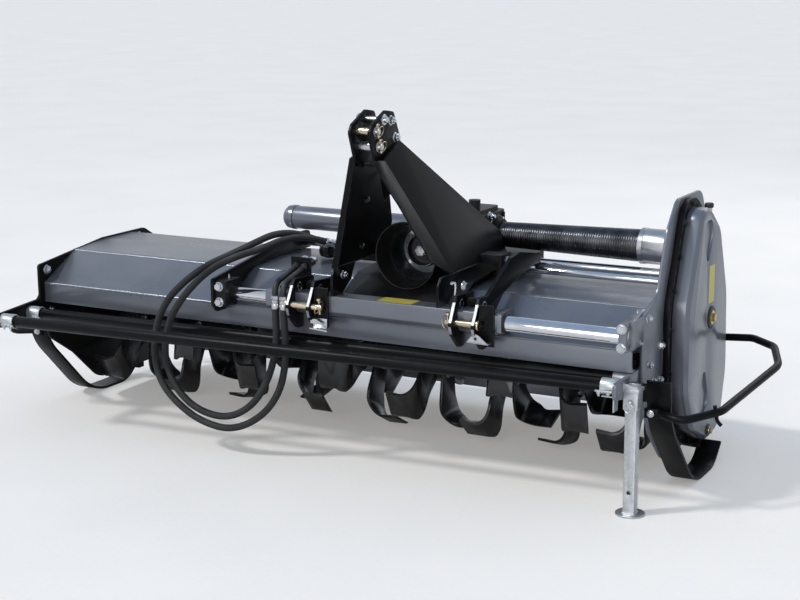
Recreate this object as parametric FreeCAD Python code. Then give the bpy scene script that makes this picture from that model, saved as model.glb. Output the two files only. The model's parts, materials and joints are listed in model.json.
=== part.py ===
"""Side-shifting rotary tiller for a three-point hitch, one STEP file per piece, in millimetres.

+X runs along the rotor towards the drive case, -Y points at the tractor, +Z is up from the floor.
"""
import FreeCAD, Part
import math
import os

V = FreeCAD.Vector

# Fits and clearances
RUNNING_FIT = 0.05
SKIN_GAP = 0.3
MOVING_GAP = 6.0

# Hood and end plates
HOOD_HALF = 1129.0
HOOD_SHEET = 6.0
END_PLATE = 10.0
HOOD_FRONT_Y = -366.0
SKIRT_LOW_Z = 424.0
FOLD_Z = 495.0
SLOPE_TOP_Y = -190.0
SLOPE_TOP_Z = 591.0
CROWN_Y = -5.0
CROWN_Z = 603.0
HOOD_REAR_Y = 415.0
HOOD_REAR_Z = 398.0

# Rotor
AXIS_Y = 110.0
AXIS_Z = 280.0
TIP_R = 268.0
ROTOR_TUBE_R = 45.0
FLANGE_R = 92.0
FLANGE_T = 12.0
FLANGE_COUNT = 9
FIRST_FLANGE_INSET = 124.0
LAST_FLANGE_INSET = 94.0
FLANGE_FIRST_X = -HOOD_HALF + FIRST_FLANGE_INSET
FLANGE_PITCH = (2 * HOOD_HALF - FIRST_FLANGE_INSET - LAST_FLANGE_INSET) / (FLANGE_COUNT - 1)
BLADE_REACH = 112.0
BLADE_T = 9.0
BLADE_BEND_R = 60.0
ROTOR_STUB_R = 25.0

# Drive case on the right end
POCKET_Y = 88.0
SHAFT_Y = 144.0
SHAFT_Z = 718.0
SEAL_FLANGE_T = 20.0
COVER_DEPTH = 54.0
COVER_CHAMFER = 12.0
DIMPLE_DEPTH = 8.0
CASE_OUTER_X = HOOD_HALF + END_PLATE + SEAL_FLANGE_T + COVER_DEPTH

# Rods that carry the headstock
FRONT_ROD_R = 25.0
FRONT_ROD_Y = -388.0
FRONT_ROD_Z = 540.0
REAR_ROD_R = 15.0
REAR_ROD_Y = 135.0
REAR_ROD_Z = 633.0
RAM_ROD_R = 12.5
RAM_Y = 15.0
RAM_Z = 632.0
RAM_BARREL_R = 23.0
LEFT_BRACKET_X = -340.0
LEFT_BRACKET_T = 10.0
LEFT_CLAMP_T = 40.0
RIGHT_BRACKET_T = 22.0
BRACKET_FRONT_Y = -432.0

# Headstock
HEAD_X = 313.0
PTO_Z = 698.0
PTO_R = 17.5
EAR_CENTRE = 296.0
EAR_HALF_GAP = 33.0
EAR_T = 12.0
LINK_PIN_Y = -446.0
LINK_PIN_Z = 538.0
LINK_PIN_R = 11.0
PIN_HEAD = 8.0
UPPER_HOLE_Y = -394.0
UPPER_HOLE_Z = 589.0
CHEEK_T = 8.0
CHEEK_REACH = 94.0
BEAM_LEFT_X = HEAD_X - 445.0
BEAM_RIGHT_X = HEAD_X + 411.0
BEAM_END_T = 21.0
BEAM_FRONT_Y = FRONT_ROD_Y - 36.0
BEAM_REAR_Y = FRONT_ROD_Y + 36.0
BEAM_LOW_Z = FRONT_ROD_Z - 35.0
BEAM_TOP_Z = FRONT_ROD_Z + 34.0
BEAM_CHAMFER = 16.0
BEAM_BUSH = 40.0
DECK_HALF = 213.0
MAST_T = 8.0
MAST_TOP_Z = 1040.0
MAST_LOW_Z = 664.0
MAST_TOP_HALF = 64.5
MAST_LEAN = 0.35
MAST_FOLD = 22.0
CLEVIS_HALF = 34.0
CLEVIS_T = 10.0
TIE_LOW_Z = 1012.0
TIE_T = 10.0
BASE_LEFT_X = HEAD_X - 193.0
BASE_RIGHT_X = HEAD_X + 287.0
BASE_FRONT_Y = -30.0
BASE_REAR_Y = 200.0
BASE_LOW_Z = 609.0
BASE_TOP_Z = MAST_LOW_Z
RAM_BARREL_END_X = BASE_LEFT_X - 285.0
RAM_ROD_END_X = BASE_RIGHT_X - 150.0
GEARBOX_LEFT = 95.0
GEARBOX_RIGHT = 130.0
GEARBOX_FRONT_Y = -30.0
GEARBOX_REAR_Y = 235.0
GEARBOX_TOP_Z = 792.0
HUB_R = 62.0
SIDE_TUBE_R = 42.0
SIDE_TUBE_END_X = HEAD_X - 711.0
BUSH_R = 58.0
BUSH_LENGTH = 156.0
COVER_START_X = HEAD_X + 157.0
COVER_END_X = HOOD_HALF - BUSH_LENGTH
COVER_START_R = 43.0
COVER_END_R = 54.0
COVER_RINGS = 14
SHIELD_FRONT_Y = -272.0
SHIELD_BACK_Y = -120.0
SHIELD_FRONT_R = 112.0
SHIELD_BACK_R = 90.0
SHIELD_T = 5.0

# Guards, skids and stand
BAR_R = 20.0
GUARD_R = 12.5
BAR_ARM_T = 12.0
LEFT_ARM_FRONT_Y = -612.0
SKID_STANDOFF = 27.0
SKID_INNER = HOOD_HALF + END_PLATE + SKID_STANDOFF
SKID_WIDTH = 76.0
SKID_T = 10.0
LEG_Y = -416.7
LEG_SIDE = 35.0
LEG_HOLE_Z = 72.0
LEG_WALL = 4.0
LEG_TOP_Z = 404.0
FOOT_R = 45.0
FOOT_T = 6.0
SLEEVE_WALL = 5.0
SLEEVE_LOW_Z = 330.0
SLEEVE_TOP_Z = 396.0
LEG_PLAY = 0.4
SLEEVE_SIDE = LEG_SIDE + 2 * (LEG_PLAY + SLEEVE_WALL)
LEG_X = HOOD_HALF + SLEEVE_SIDE / 2

# Rear board
BOARD_SHEET = 5.0
HINGE_Y = 432.0
HINGE_Z = 392.0
HINGE_R = 11.0
HINGE_PIN_R = 6.0
BOARD_END_GAP = 14.0
BOARD_REAR_Y = 496.0

# Hoses, their ports, fittings and rest
HOSE_R = 12.0
BEND_SHARE = 0.45
PORT_R = 11.0
PORT_LENGTH = 44.0
ELBOW_R = 10.0
ELBOW_RISE = 53.0
ELBOW_BEND_R = 40.0
ELBOW_SLOPE = math.radians(14)
COUPLER_START = 130.0
COUPLER_LENGTH = 70.0
COUPLER_R = 14.0
REST_T = 6.0
REST_WIDTH = 76.0


def bend_points(corners, closed):
    """Start, middle and end of the round at each (point, radius) corner."""
    rounds = []
    count = len(corners)
    for index, (point, radius) in enumerate(corners):
        is_end = not closed and index in (0, count - 1)
        if radius == 0 or is_end:
            rounds.append((point, None, point))
            continue
        back = (corners[index - 1][0] - point).normalize()
        ahead = (corners[(index + 1) % count][0] - point).normalize()
        half = back.getAngle(ahead) / 2
        reach = radius / math.tan(half)
        centre = point + (back + ahead).normalize() * (radius / math.sin(half))
        middle = centre + (point - centre).normalize() * radius
        rounds.append((point + back * reach, middle, point + ahead * reach))
    return rounds


def rounded_wire(corners, closed=True):
    """Wire of straight runs joined by tangent arcs."""
    rounds = bend_points(corners, closed)
    edges = []
    for index, (start, middle, end) in enumerate(rounds):
        if middle is not None:
            edges.append(Part.Arc(start, middle, end).toShape())
        is_last = index == len(rounds) - 1
        if is_last and not closed:
            break
        following = rounds[(index + 1) % len(rounds)][0]
        if (following - end).Length > 1e-6:
            edges.append(Part.LineSegment(end, following).toShape())
    return Part.Wire(edges)


def on_plane(normal, level, a, b):
    """Point of a section drawn across the named axis."""
    if normal == "X":
        return V(level, a, b)
    if normal == "Y":
        return V(a, level, b)
    return V(a, b, level)


def prism(normal, rows, level, depth):
    """Plate from rows of (first coordinate, second coordinate, corner radius)."""
    corners = [(on_plane(normal, level, a, b), r) for a, b, r in rows]
    along = on_plane(normal, depth, 0, 0)
    return Part.Face(rounded_wire(corners)).extrude(along)


def box(x0, x1, y0, y1, z0, z1):
    return Part.makeBox(x1 - x0, y1 - y0, z1 - z0, V(x0, y0, z0))


def rod(start, end, radius):
    axis = end - start
    return Part.makeCylinder(radius, axis.Length, start, axis)


def tube(start, end, radius, bore):
    return rod(start, end, radius).cut(rod(start, end, bore))


def x_rod(x0, x1, y, z, radius):
    return rod(V(x0, y, z), V(x1, y, z), radius)


def y_rod(x, z, y0, y1, radius):
    return rod(V(x, y0, z), V(x, y1, z), radius)


def fuse(shapes):
    shapes = list(shapes)
    whole = shapes[0].fuse(shapes[1:]) if len(shapes) > 1 else shapes[0]
    return whole.removeSplitter()


def cut(shape, tools):
    for tool in tools:
        shape = shape.cut(tool)
    return shape


def sheet_rows(rows, thickness):
    """Closed section of a bent sheet; the sheet lies to the left of the path."""
    points = [V(a, b, 0) for a, b, _ in rows]
    inner = []
    for index, (a, b, radius) in enumerate(rows):
        steps = []
        if index > 0:
            steps.append((points[index] - points[index - 1]).normalize())
        if index < len(points) - 1:
            steps.append((points[index + 1] - points[index]).normalize())
        normals = [V(-s.y, s.x, 0) for s in steps]
        lean = sum(normals[1:], normals[0]).normalize()
        offset = lean * (thickness / lean.dot(normals[0]))
        turn = 0.0
        if len(steps) == 2:
            turn = steps[0].x * steps[1].y - steps[0].y * steps[1].x
        inner_radius = radius - thickness if turn > 0 else radius + thickness
        inner_radius = max(inner_radius, 0.0) if radius else 0.0
        inner.append((a + offset.x, b + offset.y, inner_radius))
    return list(rows) + inner[::-1]


def bent_tube(corners, radius):
    """Round bar or hose along straight runs joined by tangent arcs."""
    path = rounded_wire(corners, closed=False)
    start = corners[0][0]
    along = corners[1][0] - start
    section = Part.Wire(Part.makeCircle(radius, start, along))
    return path.makePipeShell([section], True, False)


# The hood's outer section, from the skirt over the crown to the rear edge: y, z, bend radius
HOOD_ROWS = [
    (HOOD_FRONT_Y, SKIRT_LOW_Z, 0),
    (HOOD_FRONT_Y, FOLD_Z, 12),
    (SLOPE_TOP_Y, SLOPE_TOP_Z, 60),
    (CROWN_Y, CROWN_Z, 200),
    (180.0, CROWN_Z, 120),
    (320.0, 520.0, 120),
    (HOOD_REAR_Y, HOOD_REAR_Z, 0),
]


def hood():
    rows = sheet_rows(HOOD_ROWS, -HOOD_SHEET)
    shell = prism("X", rows, -HOOD_HALF, 2 * HOOD_HALF)
    lip = box(-HOOD_HALF, HOOD_HALF, HOOD_FRONT_Y, HOOD_FRONT_Y + 26, SKIRT_LOW_Z, SKIRT_LOW_Z + HOOD_SHEET)
    knuckles = []
    for x in hinge_places():
        knuckles.append(x_rod(x - 60, x - SKIN_GAP, HINGE_Y, HINGE_Z, HINGE_R))
        knuckles.append(box(x - 60, x - SKIN_GAP, HOOD_REAR_Y - 8, HINGE_Y, HINGE_Z - 6, HINGE_Z + 8))
    pins = [x_rod(x - 60, x + 60, HINGE_Y, HINGE_Z, HINGE_PIN_R) for x in hinge_places()]
    return fuse([shell, lip] + knuckles + pins)


def hinge_places():
    return [-880.0, 0.0, 880.0]


def left_end_plate():
    # y, z, corner radius
    rows = [
        (-392, 430, 12), (-392, 564, 12), (-18, 608, 60), (237, 608, 40), (390, 520, 80),
        (448, 380, 60), (420, 200, 80), (300, 68, 110), (-80, 68, 110), (-224, 201, 60), (-348, 284, 40),
    ]
    plate = prism("X", rows, -HOOD_HALF - END_PLATE, END_PLATE)
    hole = x_rod(-HOOD_HALF - 2 * END_PLATE, -HOOD_HALF + END_PLATE, AXIS_Y, AXIS_Z, ROTOR_STUB_R + 4)
    return plate.cut(hole)


def right_end_plate():
    # y, z, corner radius
    rows = [
        (-300, 339, 15), (-300, 588, 15), (-175, 625, 60), (-95, 815, 60), (-10, 903, 60), (235, 903, 60),
        (400, 640, 80), (448, 480, 60), (420, 200, 80), (300, 68, 110), (-80, 68, 110), (-224, 201, 60),
    ]
    plate = prism("X", rows, HOOD_HALF, END_PLATE)
    hole = x_rod(HOOD_HALF - END_PLATE, HOOD_HALF + 2 * END_PLATE, AXIS_Y, AXIS_Z, ROTOR_STUB_R + 4)
    return plate.cut(hole)


def case_flange():
    # y, z, corner radius
    rows = [
        (10, 893, 85), (125, 896, 110), (240, 808, 130), (345, 570, 220), (368, 285, 220), (305, 72, 110),
        (145, 54, 110), (-40, 135, 110), (-116, 290, 170), (-120, 575, 170),
    ]
    x0 = HOOD_HALF + END_PLATE
    plate = prism("X", rows, x0, SEAL_FLANGE_T)
    hole = x_rod(x0 - 1, x0 + SEAL_FLANGE_T + 1, AXIS_Y, AXIS_Z, ROTOR_STUB_R + RUNNING_FIT)
    return plate.cut(hole)


def case_cover():
    # y, z, corner radius
    rows = [
        (28, 868, 60), (110, 868, 90), (222, 790, 110), (318, 560, 200), (340, 290, 200), (285, 100, 90),
        (150, 82, 90), (-20, 160, 90), (-90, 300, 150), (-94, 570, 150),
    ]
    shell = prism("X", rows, CASE_OUTER_X - COVER_DEPTH, COVER_DEPTH)
    rim = [e for e in shell.Edges if abs(e.BoundBox.XMin - CASE_OUTER_X) < 0.01 and e.BoundBox.XLength < 0.01]
    shell = shell.makeChamfer(COVER_CHAMFER, rim)
    for z_wide, z_narrow in ((783, 695), (238, 330)):
        shell = shell.cut(teardrop(z_wide, z_narrow))
    return shell


def teardrop(z_wide, z_narrow):
    """Shallow pocket that narrows from the shaft's end towards the case's middle."""
    sign = 1 if z_wide > z_narrow else -1
    # half width, z, corner radius
    half = [(44, z_wide + sign * 44, 34), (44, z_wide - sign * 14, 34), (10, z_narrow, 8)]
    rows = [(POCKET_Y + y, z, r) for y, z, r in half] + [(POCKET_Y - y, z, r) for y, z, r in half[::-1]]
    return prism("X", rows, CASE_OUTER_X - DIMPLE_DEPTH, DIMPLE_DEPTH + 1)


def case_plugs():
    level = x_rod(CASE_OUTER_X, CASE_OUTER_X + 8, 138, 503, 15)
    drain = x_rod(CASE_OUTER_X, CASE_OUTER_X + 8, 150, 120, 12)
    breather_x = CASE_OUTER_X - COVER_DEPTH / 2
    breather = rod(V(breather_x, 165, 810), V(breather_x, 165, 860), 10).cut(case_cover())
    return Part.Compound([level, drain, breather])


def left_bearing():
    """Greased bearing housing bolted outside the left end plate."""
    x0 = -HOOD_HALF - END_PLATE
    seat = x_rod(x0 - 12, x0, AXIS_Y, AXIS_Z, 84)
    dome = Part.makeCone(66, 52, 34, V(x0 - 12, AXIS_Y, AXIS_Z), V(-1, 0, 0))
    bore = x_rod(x0 - 30, x0 + 1, AXIS_Y, AXIS_Z, ROTOR_STUB_R + RUNNING_FIT)
    return fuse([seat, dome]).cut(bore)


def left_rod_bracket():
    # y, z, corner radius; the lower edge follows the hood
    rows = [
        (-442, 505, 10), (-442, 593, 12), (-139, 636, 30), (100, 668, 30), (190, 668, 20),
        (190, CROWN_Z, 0), (CROWN_Y, CROWN_Z, 0), (SLOPE_TOP_Y, SLOPE_TOP_Z + 3, 0),
        (HOOD_FRONT_Y, FOLD_Z + 3, 0), (HOOD_FRONT_Y, 478, 0), (-420, 478, 10),
    ]
    plate = prism("X", rows, LEFT_BRACKET_X, LEFT_BRACKET_T)
    clamp_rows = [(-430, 500, 8), (-430, 585, 8), (-330, 585, 8), (-330, 518, 4), (-366, 498, 4)]
    clamp = prism("X", clamp_rows, LEFT_BRACKET_X + LEFT_BRACKET_T, LEFT_CLAMP_T)
    return cut(fuse([plate, clamp]), [front_rod(0.0), rear_rod(0.0)])


def right_rod_bracket():
    """Block on the end plate's inner face, with a cheek in line with the plate."""
    # y, z, corner radius
    rows = [
        (BRACKET_FRONT_Y, 500, 10), (BRACKET_FRONT_Y, 588, 12), (-330, 588, 10), (-240, 600, 10),
        (-240, 566, 0), (HOOD_FRONT_Y, FOLD_Z + 2, 0),
    ]
    block = prism("X", rows, HOOD_HALF - RIGHT_BRACKET_T, RIGHT_BRACKET_T)
    cheek_front_y = LEG_Y + LEG_SIDE / 2 + MOVING_GAP
    cheek = box(HOOD_HALF, HOOD_HALF + END_PLATE, cheek_front_y, -300, 500, 588)
    return fuse([block, cheek]).cut(front_rod(0.0))


def front_rod(extra):
    return x_rod(LEFT_BRACKET_X, HOOD_HALF, FRONT_ROD_Y, FRONT_ROD_Z, FRONT_ROD_R + extra)


def rear_rod(extra):
    return x_rod(LEFT_BRACKET_X, HOOD_HALF, REAR_ROD_Y, REAR_ROD_Z, REAR_ROD_R + extra)


def ram_rod():
    return x_rod(RAM_ROD_END_X, HOOD_HALF, RAM_Y, RAM_Z, RAM_ROD_R)


def shaft_bush():
    return x_rod(COVER_END_X, HOOD_HALF, SHAFT_Y, SHAFT_Z, BUSH_R)


# Guard bars: left x, left y, right x, right y, z at the left, z at the right
REAR_BAR = (-HOOD_HALF - END_PLATE, -440.0, HOOD_HALF - BAR_ARM_T, -331.0, 397.0, 397.0)
FRONT_BAR = (-HOOD_HALF - END_PLATE, -582.0, HOOD_HALF - BAR_ARM_T, -438.0, 397.0, 397.0)


def bar_ends(bar):
    x0, y0, x1, y1, z0, z1 = bar
    return V(x0, y0, z0), V(x1, y1, z1)


def between_arms(shape):
    """The shape trimmed square to the faces of the two bar arms."""
    return shape.common(box(REAR_BAR[0], REAR_BAR[2], -700, -200, 300, 500))


def guard_bar(bar):
    start, end = bar_ends(bar)
    along = (end - start).normalize() * BAR_R
    return between_arms(rod(start - along, end + along, BAR_R))


def bar_clamps():
    """Galvanised split clamps on the ends of both guard bars."""
    shapes = []
    for bar in (REAR_BAR, FRONT_BAR):
        start, end = bar_ends(bar)
        along = (end - start).normalize()
        for foot, way in ((start, 1), (end, -1)):
            ring = tube(foot - along * (way * BAR_R), foot + along * (way * 55), BAR_R + 5, BAR_R)
            shapes.append(between_arms(ring))
    return Part.Compound(shapes)


def left_bar_arm():
    """Plate that carries the guard bars forward of the left end plate."""
    # y, z, corner radius
    rows = [
        (LEFT_ARM_FRONT_Y, 374, 12), (LEFT_ARM_FRONT_Y, 422, 12), (-392, 436, 0), (-330, 500, 12),
        (-330, 350, 12), (-420, 352, 20),
    ]
    return prism("X", rows, -HOOD_HALF - END_PLATE - BAR_ARM_T, BAR_ARM_T)


def right_bar_arm():
    # y, z, corner radius
    rows = [(-500, 372, 12), (-500, 422, 12), (-150, 422, 12), (-150, 330, 12), (-380, 350, 20)]
    return prism("X", rows, HOOD_HALF - BAR_ARM_T, BAR_ARM_T)


# Side guard: x outward of the hood's end, y, z, bend radius
GUARD_ROWS = [
    (76, -340.4, 303, 0), (161, -372, 298, 45), (249, -265, 313, 60), (280, -60, 341, 200),
    (311, 140, 369, 120), (256, 290, 390, 70), (161, 372, 392, 50), (END_PLATE - 4, 385.3, 377.6, 0),
]


def side_guard(side):
    loop = bent_tube([(V(side * (HOOD_HALF + x), y, z), r) for x, y, z, r in GUARD_ROWS], GUARD_R)
    plate_x = side * (HOOD_HALF + END_PLATE)
    return loop.cut(box_between(plate_x - side * 20, plate_x, 340, 430, 330, 430))


def skid(side):
    """Bent flat runner outside the end plate, with the brackets that carry it."""
    # y, z, bend radius of the outer face
    rows = [(-340, 400, 0), (-325, 262, 200), (-75, 0, 220), (140, 0, 120), (215, 62, 0)]
    band = prism("X", sheet_rows(rows, SKID_T), side * SKID_INNER, side * SKID_WIDTH)
    plate_x = HOOD_HALF + END_PLATE
    lugs = []
    # front y, rear y, lower z, upper z
    for y0, y1, z0, z1 in ((-329, -280, 332, 372), (180, 212, 44, 76)):
        lugs.append(box_between(side * plate_x, side * (SKID_INNER + 12), y0, y1, z0, z1))
    return fuse([band] + lugs).cut(case_flange())


def box_between(xa, xb, y0, y1, z0, z1):
    return box(min(xa, xb), max(xa, xb), y0, y1, z0, z1)


def square_tube(x, y, z0, z1, side, wall):
    half = side / 2
    inner = half - wall
    outer_box = box(x - half, x + half, y - half, y + half, z0, z1)
    return outer_box.cut(box(x - inner, x + inner, y - inner, y + inner, z0, z1))


def stand_sleeve():
    return square_tube(LEG_X, LEG_Y, SLEEVE_LOW_Z, SLEEVE_TOP_Z, SLEEVE_SIDE, SLEEVE_WALL)


def stand_leg():
    leg = square_tube(LEG_X, LEG_Y, FOOT_T, LEG_TOP_Z, LEG_SIDE, LEG_WALL)
    foot = rod(V(LEG_X, LEG_Y, 0), V(LEG_X, LEG_Y, FOOT_T), FOOT_R)
    hole = rod(V(LEG_X, LEG_Y - LEG_SIDE, LEG_HOLE_Z), V(LEG_X, LEG_Y + LEG_SIDE, LEG_HOLE_Z), 6.5)
    return fuse([leg, foot]).cut(hole)


def blade():
    """C-shaped blade that bends towards +X, standing on the rotor axis, tip down."""
    # x, radius from the axis, bend radius
    rows = [(0, -60, 0), (0, -TIP_R + 6, BLADE_BEND_R), (BLADE_REACH, -TIP_R + 14, 0)]
    face = sheet_rows(rows, BLADE_T)
    profile = prism("Y", face, -140, 280)
    # y, z, corner radius: the scimitar seen along the rotor
    side_rows = [(-42, -45, 6), (42, -45, 6), (60, -150, 90), (112, -240, 8), (25, -290, 10), (-52, -190, 90)]
    outline = prism("X", side_rows, -20, BLADE_REACH + 40)
    disc = x_rod(-20, BLADE_REACH + 20, 0, 0, TIP_R)
    return profile.common(outline).common(disc)


def rotor():
    """Tube, flanges and blades as one welded and bolted reel."""
    centre = V(0, AXIS_Y, AXIS_Z)
    left_end = -HOOD_HALF + MOVING_GAP
    right_end = HOOD_HALF - MOVING_GAP
    shapes = [x_rod(left_end, right_end, AXIS_Y, AXIS_Z, ROTOR_TUBE_R)]
    stub_left = -HOOD_HALF - END_PLATE - 30 + SKIN_GAP
    stub_right = HOOD_HALF + END_PLATE + SEAL_FLANGE_T - SKIN_GAP
    shapes.append(x_rod(stub_left, stub_right, AXIS_Y, AXIS_Z, ROTOR_STUB_R))
    right_hand = blade()
    left_hand = right_hand.mirror(V(0, 0, 0), V(1, 0, 0))
    for index in range(FLANGE_COUNT):
        x = FLANGE_FIRST_X + index * FLANGE_PITCH
        shapes.append(x_rod(x - FLANGE_T / 2, x + FLANGE_T / 2, AXIS_Y, AXIS_Z, FLANGE_R))
        is_last = index == FLANGE_COUNT - 1
        for step in range(6):
            points_left = step % 2 == 1 or is_last
            piece = (left_hand if points_left else right_hand).copy()
            offset = -FLANGE_T / 2 if points_left else FLANGE_T / 2
            piece.translate(V(x + offset, 0, 0) + centre)
            piece.rotate(centre, V(1, 0, 0), step * 60 + index * 23)
            shapes.append(piece)
    return fuse(shapes)


def rear_board():
    # y, z, bend radius
    rows = [(HINGE_Y + 6, HINGE_Z - 12, 0), (492, 230, 240), (470, 72, 0)]
    half = HOOD_HALF - BOARD_END_GAP
    board = prism("X", sheet_rows(rows, -BOARD_SHEET), -half, 2 * half)
    lip = box(-half, half, 466, BOARD_REAR_Y, 68, 74)
    barrels = []
    for x in hinge_places():
        knuckle = x_rod(x + SKIN_GAP, x + 60, HINGE_Y, HINGE_Z, HINGE_R)
        strap = box(x + SKIN_GAP, x + 60, HINGE_Y, HINGE_Y + 12, HINGE_Z - 30, HINGE_Z)
        pin_space = x_rod(x, x + 61, HINGE_Y, HINGE_Z, HINGE_PIN_R + RUNNING_FIT)
        barrels.append(fuse([knuckle, strap]).cut(pin_space))
    return fuse([board, lip] + barrels)


def beam_section(x0, x1):
    """Outer shape of the rectangular tube over the front rod."""
    # y, z, corner radius
    rows = [
        (BEAM_FRONT_Y, BEAM_LOW_Z + BEAM_CHAMFER, 6), (BEAM_FRONT_Y, BEAM_TOP_Z, 6), (BEAM_REAR_Y, BEAM_TOP_Z, 6),
        (BEAM_REAR_Y, BEAM_LOW_Z + BEAM_CHAMFER, 6), (BEAM_REAR_Y - BEAM_CHAMFER, BEAM_LOW_Z, 6),
        (BEAM_FRONT_Y + BEAM_CHAMFER, BEAM_LOW_Z, 6),
    ]
    return prism("X", rows, x0, x1 - x0)


def slide_beam():
    """Rectangular tube that slides on the front rod, with a bush in each end and an end plate."""
    tube_end = BEAM_RIGHT_X - BEAM_END_T
    # y, z, corner radius
    rows = [
        (BEAM_FRONT_Y, BEAM_LOW_Z + 6, 8), (BEAM_FRONT_Y, BEAM_TOP_Z + 2, 8), (BEAM_REAR_Y + 32, BEAM_TOP_Z + 2, 8),
        (BEAM_REAR_Y + 32, BEAM_LOW_Z + 27, 6), (BEAM_REAR_Y + 2, BEAM_LOW_Z + 7, 6),
    ]
    body = fuse([beam_section(BEAM_LEFT_X, tube_end), prism("X", rows, tube_end, BEAM_END_T)])
    hollow_end = BEAM_RIGHT_X - BEAM_BUSH
    hollow = x_rod(BEAM_LEFT_X + BEAM_BUSH, hollow_end, FRONT_ROD_Y, FRONT_ROD_Z, FRONT_ROD_R + 4)
    return cut(body, [front_rod(RUNNING_FIT), hollow])


def ear_rows(side):
    """Outlines of a lower link ear; the outermost one runs back over the hood as a wing."""
    # y, z, corner radius
    rows = [
        (-425, 620, 10), (-470, 535, 12), (-458, 500, 14), (-408, 452, 12), (-376, 452, 8),
        (-376, 500, 10), (-322, 545, 20), (-300, 612, 12),
    ]
    wing = [
        (-390, 590, 0), (-376, 612, 30), (-190, 706, 30), (-127, 715, 40), (47, 682, 12), (48, 654, 10),
        (-35, 651, 60), (-156, 627, 80), (-249, 605, 60), (-310, 560, 0),
    ]
    return [rows, wing] if side > 0 else [rows]


def hitch_bracket(side):
    """Two ears for a lower link on the beam, with a cheek plate beside them."""
    centre = HEAD_X + side * EAR_CENTRE
    reach = EAR_HALF_GAP + EAR_T
    parts = []
    for way in (-1, 1):
        x = centre + way * (EAR_HALF_GAP + EAR_T / 2) - EAR_T / 2
        is_outer = way == side
        for rows in ear_rows(side if is_outer else 0):
            parts.append(prism("X", rows, x, EAR_T))
    web = box(centre - EAR_HALF_GAP, centre + EAR_HALF_GAP, BEAM_REAR_Y, BEAM_REAR_Y + 12, 528, 600)
    cheek = box(centre + reach, centre + CHEEK_REACH, BEAM_FRONT_Y - CHEEK_T, BEAM_FRONT_Y, 470, 600)
    pin_room = x_rod(centre + reach, centre + reach + 20, LINK_PIN_Y, LINK_PIN_Z, LINK_PIN_R + 9)
    body = fuse(parts + [web, cheek.cut(pin_room)])
    tools = [beam_section(BEAM_LEFT_X, BEAM_RIGHT_X)]
    for y, z in ((LINK_PIN_Y, LINK_PIN_Z), (UPPER_HOLE_Y, UPPER_HOLE_Z)):
        tools.append(x_rod(centre - reach - 1, centre + reach + 1, y, z, LINK_PIN_R + RUNNING_FIT))
    return cut(body, tools)


def link_pins():
    pins = []
    for side in (-1, 1):
        centre = HEAD_X + side * EAR_CENTRE
        reach = EAR_HALF_GAP + EAR_T
        face_x = centre + side * reach
        head = x_rod(face_x, face_x + side * PIN_HEAD, LINK_PIN_Y, LINK_PIN_Z, LINK_PIN_R + 7)
        pin = x_rod(face_x + side * PIN_HEAD, centre - side * (reach + 18), LINK_PIN_Y, LINK_PIN_Z, LINK_PIN_R)
        pins.append(fuse([pin, head]))
    return Part.Compound(pins)


def deck_plate():
    """Bent plate that ties the front beam to the sliding base over the hood."""
    # y, z, bend radius
    rows = [(BEAM_REAR_Y, FRONT_ROD_Z - 5, 0), (-205, 612, 40), (BASE_FRONT_Y, BASE_LOW_Z + 13, 0)]
    plate = prism("X", sheet_rows(rows, 8), HEAD_X - DECK_HALF, 2 * DECK_HALF)
    window = y_rod(HEAD_X, PTO_Z, BEAM_REAR_Y + 20, BASE_FRONT_Y, SHIELD_FRONT_R + 4)
    beam_x0 = HEAD_X - DECK_HALF - 1
    beam_x1 = HEAD_X + DECK_HALF + 1
    beam_side = box(beam_x0, beam_x1, BEAM_FRONT_Y, BEAM_REAR_Y, BEAM_LOW_Z, BEAM_TOP_Z + 30)
    return cut(plate, [window, beam_side])


def sliding_base():
    """Block under the gearbox, bored for the rear rod and the ram's rod."""
    block = box(BASE_LEFT_X, BASE_RIGHT_X, BASE_FRONT_Y, BASE_REAR_Y, BASE_LOW_Z, BASE_TOP_Z)
    ram_bore = x_rod(BASE_LEFT_X, BASE_RIGHT_X, RAM_Y, RAM_Z, RAM_ROD_R + RUNNING_FIT)
    return cut(block, [rear_rod(RUNNING_FIT), ram_bore])


def ram_barrel():
    """Visible end of the side-shift ram with a port in line with each hose."""
    parts = [x_rod(RAM_BARREL_END_X, BASE_LEFT_X, RAM_Y, RAM_Z, RAM_BARREL_R)]
    for route in HOSE_ROUTES.values():
        start, following = V(*route[0]), V(*route[1])
        along = (following - start).normalize()
        parts.append(rod(start - along * PORT_LENGTH, start, PORT_R))
    return fuse(parts)


def round_block(x0, x1, y0, y1, radius, z0, z1):
    rows = [(x0, y0, radius), (x1, y0, radius), (x1, y1, radius), (x0, y1, radius)]
    return prism("Z", rows, z0, z1 - z0)


def gearbox():
    x0 = HEAD_X - GEARBOX_LEFT
    x1 = HEAD_X + GEARBOX_RIGHT
    body = round_block(x0, x1, GEARBOX_FRONT_Y, GEARBOX_REAR_Y, 26, BASE_TOP_Z, GEARBOX_TOP_Z)
    edge = 18
    lid_front = GEARBOX_FRONT_Y + edge
    lid_rear = GEARBOX_REAR_Y - edge
    lid = round_block(x0 + edge, x1 - edge, lid_front, lid_rear, 20, GEARBOX_TOP_Z, GEARBOX_TOP_Z + 14)
    hub = y_rod(HEAD_X, PTO_Z, GEARBOX_FRONT_Y, SHIELD_BACK_Y, HUB_R)
    side_hubs = [
        x_rod(x0 - 40, x0, SHAFT_Y, SHAFT_Z, HUB_R - 8),
        x_rod(x1, COVER_START_X, SHAFT_Y, SHAFT_Z, HUB_R - 10),
    ]
    cap = rod(V(x1 - 40, 60, GEARBOX_TOP_Z + 14), V(x1 - 40, 60, GEARBOX_TOP_Z + 52), 20)
    bore = y_rod(HEAD_X, PTO_Z, SHIELD_BACK_Y, -40, PTO_R + RUNNING_FIT)
    return fuse([body, lid, hub, cap] + side_hubs).cut(bore)


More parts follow.
